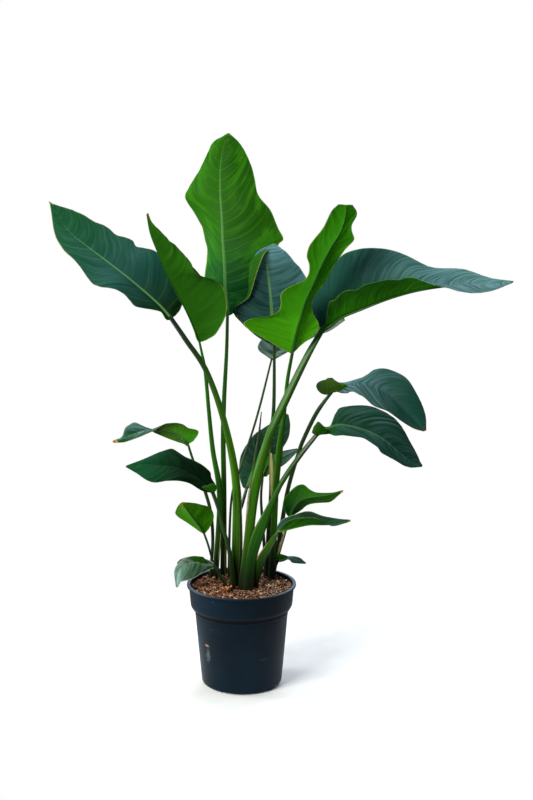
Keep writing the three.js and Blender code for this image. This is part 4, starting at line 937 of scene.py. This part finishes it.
def makeSheaths():
    for seed, (name, shape) in enumerate(sheathShapes.items()):
        leafName, (low, high), side, width, lift, colour, edge = shape
        leaf = leafShapes[leafName]
        path = stalkPath({"stalk": leaf["stalk"]})
        keep = (path["middle"][:, 2] >= low) & (path["middle"][:, 2] <= high)
        aim = np.array([math.cos(math.radians(side)), math.sin(math.radians(side)), 0.0])
        axes = np.stack([path["sideways"], path["forward"]], axis=1)
        aimed = (axes * aim).sum(axis=2)
        outward = unit((axes * (aimed / path["sizes"])[..., None]).sum(axis=1))[keep]
        toSkin = unit(aimed) * path["sizes"] / 2
        surface = (path["middle"] + (axes * toSkin[..., None]).sum(axis=1))[keep]
        share = np.linspace(0, 1, int(keep.sum()))
        widths = width * np.sin(np.pi * (share * 0.94 + 0.03)) ** 0.45  # blunt at both ends
        makeStrip(name, surface + outward * lift, outward, path["tangent"][keep], widths,
                  makeMembrane(name + "_papery_matt", colour, edge), leaf["slot"], 300 + seed)


scrapSet = {
    "middle": (-31, -30, 227.5), "size": (24, 12), "rows": 15, "lie": (0.86, 0.5),
    "curl": 5.5, "ripple": 0.8, "twist": 0.5, "narrowing": 0.75, "colours": ("amber", "dry"),
}


def makeScrap():
    # a curled scrap of dry orange bract that lies on the bark
    s = scrapSet
    share = np.linspace(-1, 1, s["rows"])
    x = share * s["size"][0] / 2
    rise = s["curl"] * (share ** 2 - 0.5) + s["ripple"] * np.sin(share * 7)
    middle = np.array(s["middle"], float) + np.stack([x * s["lie"][0], x * s["lie"][1], rise], axis=1)
    along = unit(np.gradient(middle, axis=0))
    across = unit(np.cross([0, 0, 1], along))
    outward = unit(np.cross(along, across) + across * (s["twist"] * np.sin(share * 4))[:, None])
    widths = s["size"][1] * (1 - s["narrowing"] * share ** 4)
    makeStrip("dry_bract_scrap", middle, outward, along, widths,
              makeMembrane("dry_bract_matt", *s["colours"]), "potting_mix", 411)


# Curled parts of blades, mostly feet where both halves roll shut over the stalk: the curl's upper and
# lower outline as (x, z), how far back it lies, half its thickness and its colours.
leafCurls = {
    "leaf_right_upper": {
        "upper": ((162, 668), (165, 675), (175, 680), (192, 683), (204, 679), (214, 672), (227, 672),
            (237, 660)),
        "lower": ((162, 666), (165, 658), (173, 650), (185, 647), (197, 652), (206, 655), (217, 651),
            (231, 651), (237, 657)),
        "back": 13, "half": 7, "tones": ("moss", "olive", "mature"), "edge": "dry"},
    "leaf_right_lower": {
        "upper": ((153, 571), (156, 581), (160, 587), (166, 589), (173, 586), (179, 581), (187, 575)),
        "lower": ((153, 568), (157, 565), (165, 564), (173, 565), (181, 566), (187, 571)),
        "back": -7, "half": 5, "tones": ("olive", "mature", "mature"), "edge": "margin"},
    "leaf_left_dark": {
        "upper": ((-98, 463), (-85, 462), (-73, 463), (-63, 468), (-56, 466), (-52, 460)),
        "lower": ((-98, 462), (-85, 458), (-73, 452), (-59, 447), (-53, 451), (-52, 458)),
        "back": -54, "half": 5, "tones": ("moss", "mature", "mature"), "edge": "rib"},
    "leaf_rim_left": {
        "upper": ((-141, 278), (-134, 286), (-122, 291), (-103, 294), (-83, 292), (-78, 285)),
        "lower": ((-141, 276), (-122, 272), (-101, 275), (-78, 278)),
        "back": -12, "half": 2.5, "tones": ("forest", "mature", "mature"), "edge": "mature"},
    "leaf_rim_right": {
        "upper": ((71, 273), (75, 278), (87, 279), (102, 274)),
        "lower": ((71, 272), (77, 266), (90, 266), (103, 270)),
        "back": 54, "half": 3.5, "tones": ("mature", "fresh", "fresh"), "edge": "lime"},
}

# How every curl is built: an oval tube, over which the outer half laps along a slanting fold. The look
# is the underside's with these changes.
curlSet = {
    "rings": 56, "sides": 28, "endTurn": 0.04, "leastReach": 0.3,
    "foldDepth": 0.3, "foldTurn": 4.2, "foldSlant": 1.3, "foldWidth": 0.28,
    "look": {"vein": 3.0, "relief": 0.5, "line": 0.6},
}


def makeLeafCurls():
    s = curlSet
    turn = np.arange(s["sides"]) * 2 * np.pi / s["sides"]
    share = 0.5 - 0.5 * np.cos(np.linspace(s["endTurn"], np.pi - s["endTurn"], s["rings"]))[:, None]
    fold = np.exp(-((turn - s["foldTurn"] - s["foldSlant"] * (share - 0.5)) / s["foldWidth"]) ** 2)
    for name, curl in leafCurls.items():
        upper, lower = np.array(curl["upper"], float), np.array(curl["lower"], float)
        x = upper[0, 0] + (upper[-1, 0] - upper[0, 0]) * share
        edges = []
        for line in (upper, lower):
            heights = np.pad(np.interp(x[:, 0], line[:, 0], line[:, 1]), 2, "edge")
            edges.append(np.convolve(heights, np.ones(5) / 5, "valid"))
        centre = ((edges[0] + edges[1]) / 2)[:, None]
        reach = np.maximum((edges[0] - edges[1]) / 2, s["leastReach"])[:, None]
        depth = curl["half"] * np.sin(np.pi * share) ** 0.5 * (1 - s["foldDepth"] * fold)
        points = overGrid(depth.shape, x, curl["back"] + depth * np.sin(turn),
                          centre + reach * np.cos(turn))
        place = overGrid(depth.shape, np.sin(turn), 0.1 + 0.7 * share, x - x[0])
        edge = overGrid(depth.shape, 40.0, np.minimum(turn, 2 * np.pi - turn) * reach, 0.0)
        look = {**underLook, **leafShapes[name].get("under", {}), **s["look"],
                "tones": curl["tones"], "edge": curl["edge"], "edgeDry": curl["edge"]}
        piece = makeMesh(name + "_curl", points, tubeFaces(*depth.shape),
                         [makeLeafFace(name + "_matt_curl", look)], leafPlace=place, leafEdge=edge)
        settle(piece, leafShapes[name]["slot"])


# The nursery pot. The sizes are those of the solid.
potSet = {
    "topDiameter": 240, "height": 229, "lipHeight": 5, "lipOverhang": 4.5, "bandHeight": 48,
    "bandTaper": 3.5, "stepHeight": 15, "bodyTopDiameter": 205, "baseDiameter": 176, "wall": 2.4,
    "floorThickness": 3, "footRadius": 9, "ridgeHeight": 0.35, "ridgeHalfWidth": 1.5, "ridgeDrop": 8,
    "sides": 192, "arcSteps": 6, "sharpAngle": 38,
    "slots": 4, "slotWidth": 25, "slotHeight": 6, "slotReach": 15, "slotTurn": -23.6,
    "colour": "#02111c", "faded": "#061e2d", "grooveShade": "#01040a", "lipHighlight": "#4f5c6c",
    "roughness": (0.38, 0.5), "grooveRoughness": 0.95, "specular": 0.1, "relief": 0.12,
    # centre, half sizes in metres, colour and strength of each rubbed place and painted highlight
    "rubsAndHighlights": (
        ((-0.0720, -0.0640, 0.083), (0.0055, 0.016, 0.020), "#4d5c60", 0.7),
        ((-0.0745, -0.0620, 0.106), (0.0065, 0.014, 0.0035), "#b07a5a", 0.9),
        ((0.0480, -0.0810, 0.081), (0.011, 0.016, 0.0028), "#24364a", 0.7),
        ((-0.0600, -0.0960, 0.2165), (0.0014, 0.006, 0.0015), "#8a9090", 0.9),
        # the last two are painted highlights on short moulded marks below the step
        ((-0.0620, -0.0800, 0.1480), (0.014, 0.02, 0.0016), "#1c2c38", 0.7),
        ((-0.0560, -0.0860, 0.1420), (0.011, 0.02, 0.0012), "#1c2c38", 0.6),
    ),
}


def potProfile():
    # half of the pot's section as (radius, height), with the radius of the arc at each corner
    s = potSet
    lip, base, body = s["topDiameter"] / 2, s["baseDiameter"] / 2, s["bodyTopDiameter"] / 2
    lipLow, bandLow = s["height"] - s["lipHeight"], s["height"] - s["bandHeight"]
    band, stepLow = lip - s["lipOverhang"], bandLow - s["stepHeight"]
    ridge, beside = stepLow - s["ridgeDrop"], s["ridgeHalfWidth"]
    slope = (body - base) / stepLow
    return [
        (0, 0, 0), (base - s["footRadius"], 0, 4), (base, s["footRadius"] * 0.6, 5),
        (base + slope * 30, 30, 0),
        (base + slope * (ridge - beside), ridge - beside, 0.8),
        (base + slope * ridge + s["ridgeHeight"], ridge, 0.8),
        (base + slope * (ridge + beside), ridge + beside, 0.8), (body, stepLow, 3),
        (band - s["bandTaper"], bandLow, 4), (band, lipLow, 0.8), (lip, lipLow, 1.4), (lip, s["height"], 1.4),
        (band - s["wall"], s["height"], 0.9), (band - s["bandTaper"] - s["wall"], bandLow, 3),
        (body - s["wall"], stepLow, 3), (base - s["wall"] * 2, s["floorThickness"], 6),
        (0, s["floorThickness"], 0),
    ]


def roundCorners(profile):
    # the profile with its corners turned into short arcs
    corners = np.array(profile, float)
    points = []
    for k, (*corner, radius) in enumerate(corners):
        if not radius:
            points.append(corner)
            continue
        corner = np.array(corner)
        start, end = (corner + unit(corners[n, :2] - corner) * radius for n in (k - 1, k + 1))
        for w in np.linspace(0, 1, potSet["arcSteps"]):
            points.append(start * (1 - w) ** 2 + corner * 2 * w * (1 - w) + end * w ** 2)
    return points


def turnProfile(profile, sides):
    # a turned solid: rings of points about +Z, closed on the axis at both ends
    points = [[0, 0, profile[0][1]]]
    for radius, z in profile[1:-1]:
        for k in range(sides):
            turn = 2 * math.pi * k / sides
            points.append([radius * math.cos(turn), radius * math.sin(turn), z])
    points.append([0, 0, profile[-1][1]])
    rings = len(profile) - 2
    faces = []
    for k in range(sides):
        following = (k + 1) % sides
        faces.append([0, 1 + following, 1 + k])
        for ring in range(rings - 1):
            a, b = 1 + ring * sides + k, 1 + ring * sides + following
            faces.append([a, b, b + sides, a + sides])
        top = 1 + (rings - 1) * sides
        faces.append([top + k, top + following, len(points) - 1])
    return points, faces


def makePotPlastic():
    # polypropylene, injection moulded in blue-black: a satin skin that shows soft light, with fine
    # turned lines from the mould, painted shade under the band, a painted highlight along the lip,
    # a few rub marks from handling and two painted highlights on short moulded marks
    s = potSet
    material, tree = startMaterial("satin_moulded_polypropylene")
    place = addNode(tree, "TexCoord").outputs["Object"]
    parts = addNode(tree, "SeparateXYZ", (place,)).outputs
    across, height = parts["X"], parts["Z"]
    mottle = addNode(tree, "TexNoise", {"Vector": place, "Scale": 9.0, "Detail": 3.0})
    body = addNode(tree, "ValToRGB", (mottle,), [
        (0.35, hexColour(s["colour"])), (0.75, hexColour(s["faded"]))])
    # painted shade, soft and dark, in the groove under the band
    groove = addNode(tree, "Math", (height, 0.172), operation="SUBTRACT")
    offGroove = addNode(tree, "Math", (groove,), operation="ABSOLUTE")
    grooveMask = addNode(tree, "MapRange", (offGroove, 0.002, 0.009, 0.75, 0.0),
                         interpolation_type="SMOOTHSTEP")
    grooveShaded = addNode(tree, "Mix", {0: grooveMask, 6: body, 7: hexColour(s["grooveShade"])}, data_type="RGBA")
    # painted highlight: the lip is lighter, mostly at the sides
    sideways = addNode(tree, "Math", (across,), operation="ABSOLUTE")
    highlightSides = addNode(tree, "MapRange", (sideways, 0.03, 0.115, 0.12, 0.8),
                      interpolation_type="SMOOTHSTEP")
    lipOnly = addNode(tree, "MapRange", (height, 0.2268, 0.2285, 0.0, 1.0))
    lipMask = addNode(tree, "Math", (highlightSides, lipOnly), operation="MULTIPLY")
    colour = addNode(tree, "Mix", {0: lipMask, 6: grooveShaded, 7: hexColour(s["lipHighlight"])}, data_type="RGBA")
    # rubbed places with ragged edges: lighter plastic, with a little orange soil dried on one, and two
    # painted highlights on short moulded marks
    torn = addNode(tree, "TexNoise", {"Vector": place, "Scale": 190.0, "Detail": 3.0})
    for centre, size, tint, strength in s["rubsAndHighlights"]:
        away = addNode(tree, "VectorMath", (place, centre), operation="SUBTRACT")
        scaled = addNode(tree, "VectorMath", (away, size), operation="DIVIDE")
        distance = addNode(tree, "VectorMath", (scaled,), operation="LENGTH")
        ragged = addNode(tree, "Math", (torn, 1.6, distance), operation="MULTIPLY_ADD")
        mask = addNode(tree, "MapRange", (ragged, 1.1, 1.8, strength, 0.0))
        colour = addNode(tree, "Mix", {0: mask, 6: colour, 7: hexColour(tint)}, data_type="RGBA")
    # fine rings from the turned mould, 2 mm apart and broken up, over a light peel
    drawn = addNode(tree, "VectorMath", (place, (7.0, 7.0, 500.0)), operation="MULTIPLY")
    rings = addNode(tree, "TexNoise", {"Vector": drawn, "Scale": 1.0, "Detail": 2.0})
    peel = addNode(tree, "TexNoise", {"Vector": place, "Scale": 420.0, "Detail": 2.0})
    relief = addNode(tree, "Math", (peel, 0.4, rings), operation="MULTIPLY_ADD")
    bump = addNode(tree, "Bump", {"Height": relief, "Strength": s["relief"], "Distance": 0.0006})
    satin = addNode(tree, "MapRange", (mottle, 0.3, 0.7, *s["roughness"]))
    dulled = addNode(tree, "Mix", {0: grooveMask, 2: satin, 3: s["grooveRoughness"]}, data_type="FLOAT")
    skin = addNode(tree, "BsdfPrincipled", {
        "Base Color": colour, "Roughness": dulled, "Normal": bump, "IOR": 1.49,
        "Specular IOR Level": s["specular"]})
    addNode(tree, "OutputMaterial", (skin,))
    return material


def makePot():
    s = potSet
    points, faces = turnProfile(roundCorners(potProfile()), s["sides"])
    piece = makeMesh("nursery_pot", points, faces, [makePotPlastic()])
    for slot in range(s["slots"]):
        turn = math.radians(s["slotTurn"] - 90 + slot * 360 / s["slots"])
        bpy.ops.mesh.primitive_cube_add(size=1)
        cutter = bpy.context.object
        cutter.scale = Vector((s["slotReach"] * 2, s["slotWidth"], s["slotHeight"] * 2)) * mm
        cutter.rotation_euler.z = turn
        cutter.location = Vector((math.cos(turn), math.sin(turn), 0)) * s["baseDiameter"] / 2 * mm
        bpy.context.view_layer.update()
        cut = piece.modifiers.new("slot", "BOOLEAN")
        cut.object = cutter
        cut.solver = "EXACT"
        depsgraph = bpy.context.evaluated_depsgraph_get()
        mesh = bpy.data.meshes.new_from_object(piece.evaluated_get(depsgraph))
        piece.modifiers.clear()
        piece.data = mesh
        bpy.data.objects.remove(cutter)
    piece.data.polygons.foreach_set("use_smooth", [True] * len(piece.data.polygons))
    piece.data.set_sharp_from_angle(angle=math.radians(s["sharpAngle"]))
    settle(piece, "pot_plastic", "pot")


# The potting mix: bark and coir chips over a lumpy bed.
soilSet = {
    "top": 220, "relief": 3.5, "edgeRadius": 112, "rings": 40, "sides": 120, "depth": 30,
    "bedDrop": 1.5, "bedGrit": 0.8, "bedColour": "#2a1a12", "skirt": 0.97,
    "chips": 6200, "chipSizes": (1.7, 5.4), "bigChips": 170, "bigSizes": (6, 13),
    "flatness": ((0.2, 0.75), (0.14, 0.4)),  # width and depth of a chip as shares of its length
    "lie": (-1.2, 1.6), "tilts": (0.7, 0.6), "cornerReach": (0.7, 1.15),
    "colours": ("#905f42", "#c49c70", "#6e4234", "#e0c49c", "#452a22", "#a4603c", "#a08468", "#ecdcba",
                "#553024", "#caa07a", "#82492f", "#b8a080"),
    "shades": (0.5, 1.1),
    "rust": (1.1, 0.8, 0.66), "rustShare": 0.5, "rustSpan": 150,  # rustier towards the left
    "grain": (0.55, 1.3), "chipRelief": 0.5, "roughness": 0.85, "specular": 0.25,
}

# Corners and sides of an icosahedron, the rough form of every chip.
golden = (1 + 5 ** 0.5) / 2
chipCorners = ((-1, golden, 0), (1, golden, 0), (-1, -golden, 0), (1, -golden, 0),
               (0, -1, golden), (0, 1, golden), (0, -1, -golden), (0, 1, -golden),
               (golden, 0, -1), (golden, 0, 1), (-golden, 0, -1), (-golden, 0, 1))
chipSides = ((0, 11, 5), (0, 5, 1), (0, 1, 7), (0, 7, 10), (0, 10, 11), (1, 5, 9), (5, 11, 4), (11, 10, 2),
             (10, 7, 6), (7, 1, 8), (3, 9, 4), (3, 4, 2), (3, 2, 6), (3, 6, 8), (3, 8, 9), (4, 9, 5),
             (2, 4, 11), (6, 2, 10), (8, 6, 7), (9, 8, 1))


def soilHeight(x, y):
    # how far the mix lies above or below its mean level
    lumps = np.sin(x * 0.11 + 1.3) * np.cos(y * 0.13 - 0.4)
    grit = np.sin(x * 0.31 + y * 0.23) * np.cos(x * 0.19 - y * 0.37 + 2)
    return float(soilSet["relief"] * (0.6 * lumps + 0.4 * grit))


def makeChipSkin():
    # composted bark and coir: dry, dull, each chip its own brown, fibrous in close view
    s = soilSet
    material, tree = startMaterial("dull_composted_bark")
    tint = addNode(tree, "Attribute", attribute_name="chipTint").outputs["Vector"]
    place = addNode(tree, "TexCoord").outputs["Object"]
    grain = addNode(tree, "TexNoise", {"Vector": place, "Scale": 300.0, "Detail": 4.0, "Roughness": 0.6})
    strength = addNode(tree, "MapRange", (grain, 0.3, 0.7, *s["grain"]))
    colour = addNode(tree, "VectorMath", {0: tint, "Scale": strength}, operation="SCALE")
    bump = addNode(tree, "Bump", {"Height": grain, "Strength": s["chipRelief"], "Distance": 0.0008})
    skin = addNode(tree, "BsdfPrincipled", {
        "Base Color": colour, "Normal": bump, "Roughness": s["roughness"],
        "Specular IOR Level": s["specular"]})
    addNode(tree, "OutputMaterial", (skin,))
    return material


def makeSoil():
    s, draw = soilSet, random.Random(11)
    rings, sides = s["rings"], s["sides"]
    # the bed: a lumpy disc with a closed skirt below
    circle = [(math.cos(2 * math.pi * k / sides), math.sin(2 * math.pi * k / sides)) for k in range(sides)]
    points = []
    for ring in range(rings + 1):
        radius = s["edgeRadius"] * ring / rings
        for x, y in circle:
            grit = draw.uniform(-s["bedGrit"], s["bedGrit"]) * (ring > 0)
            height = s["top"] - s["bedDrop"] + soilHeight(radius * x, radius * y) + grit
            points.append([radius * x, radius * y, height])
    radius = s["edgeRadius"] * s["skirt"]
    points += [[radius * x, radius * y, s["top"] - s["depth"]] for x, y in circle]
    faces = tubeFaces(rings + 2, sides)[:-2]
    faces = [[a, d, c, b] for a, b, c, d in faces]
    faces.append(list(range(len(points)))[:-sides - 1:-1])
    tints = [Vector(hexColour(s["bedColour"])[:3])] * len(points)
    # the chips: small ones first, then the big ones, each squashed, turned and roughened
    colours = [Vector(hexColour(colour)[:3]) for colour in s["colours"]]
    corners = [Vector(corner) for corner in chipCorners]
    for chip in range(s["chips"] + s["bigChips"]):
        low, high = s["chipSizes"] if chip < s["chips"] else s["bigSizes"]
        size = low + (high - low) * draw.random() ** 2
        radius = (s["edgeRadius"] - size * 0.45) * math.sqrt(draw.random())
        turn = draw.uniform(0, 2 * math.pi)
        x, y = radius * math.cos(turn), radius * math.sin(turn)
        shape = Vector((1, *(draw.uniform(*limits) for limits in s["flatness"]))) * size / 3.0
        spin = Matrix.Rotation(draw.uniform(0, 6.28), 3, "Z")
        for tilt, axis in zip(s["tilts"], "XY"):
            spin = spin @ Matrix.Rotation(draw.uniform(-tilt, tilt), 3, axis)
        middle = Vector((x, y, s["top"] + soilHeight(x, y) + draw.uniform(*s["lie"])))
        tint = draw.choice(colours) * draw.uniform(*s["shades"])
        if draw.random() < s["rustShare"] - x / s["rustSpan"]:
            tint = tint * Vector(s["rust"])
        faces += [[len(points) + corner for corner in side] for side in chipSides]
        for corner in corners:
            rough = corner * draw.uniform(*s["cornerReach"])
            points.append(list(middle + spin @ (rough * shape)))
        tints += [tint] * len(corners)
    piece = makeMesh("bark_mix", points, faces, [makeChipSkin()], smooth=False, chipTint=tints)
    settle(piece, "potting_mix", "soil")
    return len(faces)


cameraSet = {"place": (0.055, -3.450, 1.324), "down": 11.23, "lens": 73.53, "film": 36.0, "reach": 50}


def makeCamera():
    # the photograph's view, worked out from the pot's outline in a picture of 533 by 800
    s = cameraSet
    data = bpy.data.cameras.new("view")
    data.sensor_fit = "VERTICAL"
    data.sensor_height = s["film"]
    data.lens = s["lens"]
    data.clip_end = s["reach"]
    data.dof.use_dof = False
    camera = bpy.data.objects.new("view", data)
    camera.location = s["place"]
    camera.rotation_euler = (math.radians(90 - s["down"]), 0, 0)
    bpy.context.scene.collection.objects.link(camera)
    bpy.context.scene.camera = camera


# Soft boxes around the plant: place, the point it faces, width and height in metres, watts and colour.
lightSet = {
    "key": ((-2.2, -2.6, 2.5), (0, 0, 0.6), (1.8, 1.8), 185, "#fbfbf6"),
    "overhead": ((0.3, 0.6, 3.0), (0, 0.1, 0.6), (3.0, 2.4), 66, "#eef4ff"),
    "leftSide": ((-3.0, 0.5, 1.1), (0, 0, 0.5), (1.2, 2.2), 80, "#f2f8f4"),
    "rightSide": ((3.0, 0.6, 1.2), (0, 0, 0.6), (1.0, 2.2), 12, "#e6eeff"),
    "back": ((0.9, 3.2, 2.0), (0, 0, 0.7), (2.4, 1.8), 60, "#f4f8ff"),
}


def makeLights():
    for name, (place, aim, size, watts, colour) in lightSet.items():
        data = bpy.data.lights.new(name, "AREA")
        data.shape = "RECTANGLE"
        data.size, data.size_y = size
        data.energy = watts
        data.color = hexColour(colour)[:3]
        light = bpy.data.objects.new(name, data)
        light.location = place
        light.rotation_euler = (Vector(aim) - Vector(place)).to_track_quat("-Z", "Y").to_euler()
        light.visible_camera = False
        bpy.context.scene.collection.objects.link(light)


roomSet = {
    "air": "#dfe9f2", "airStrength": 0.1,
    "paper": ("#f3f3f1", "#f8f8f6"), "paperFade": (0.22, 0.75),  # metres from the pot's middle
    "floorRadius": 1600, "floorSides": 96,
}


def makeRoom():
    # a pale studio: the air is white behind the plant and softer where it lights it
    s = roomSet
    world = bpy.data.worlds.new("studio")
    bpy.context.scene.world = world
    world.use_nodes = True
    tree = world.node_tree
    tree.nodes.clear()
    seen = addNode(tree, "LightPath").outputs["Is Camera Ray"]
    soft = addNode(tree, "Background", {"Color": hexColour(s["air"]), "Strength": s["airStrength"]})
    white = addNode(tree, "Background", {"Color": (1, 1, 1, 1), "Strength": 1.0})
    addNode(tree, "OutputWorld", (addNode(tree, "MixShader", (seen, soft, white)),))
    # matt paper under the pot, which gives way to the white around it
    material, tree = startMaterial("matt_paper")
    speckle = addNode(tree, "TexNoise", {"Scale": 60.0, "Detail": 2.0})
    tone = addNode(tree, "ValToRGB", (speckle,), [
        (place, hexColour(colour)) for place, colour in zip((0.3, 0.7), s["paper"])])
    sheet = addNode(tree, "BsdfPrincipled", {"Base Color": tone, "Roughness": 0.9, "Specular IOR Level": 0.1})
    place = addNode(tree, "TexCoord").outputs["Object"]
    away = addNode(tree, "VectorMath", (place,), operation="LENGTH")
    fade = addNode(tree, "MapRange", (away, *s["paperFade"], 0.0, 1.0),
                   interpolation_type="SMOOTHSTEP")
    clear = addNode(tree, "BsdfTransparent")
    addNode(tree, "OutputMaterial", (addNode(tree, "MixShader", (fade, sheet, clear)),))
    turns = [2 * math.pi * k / s["floorSides"] for k in range(s["floorSides"])]
    circle = [[s["floorRadius"] * math.cos(turn), s["floorRadius"] * math.sin(turn), 0] for turn in turns]
    floor = makeMesh("floor", circle, [list(range(len(circle)))], [material])


makeCamera()
makeRoom()
makeLights()
bpy.context.scene.view_settings.view_transform = "Standard"  # shows the greens as they are
print("camera, room and lights are ready")

makePot()
print("pot is ready")
print("potting mix is ready, faces:", makeSoil())

leafFaces = 0
for number, (name, leaf) in enumerate(leafShapes.items()):
    if "blade" in leaf:
        leafFaces += makeLeaf(number, name, leaf)
    else:
        makeSpear(name, leaf)
print("leaves are ready, faces:", leafFaces)
makeSheaths()
makeLeafCurls()
makeScrap()
print("dry membranes and curled leaf parts are ready")
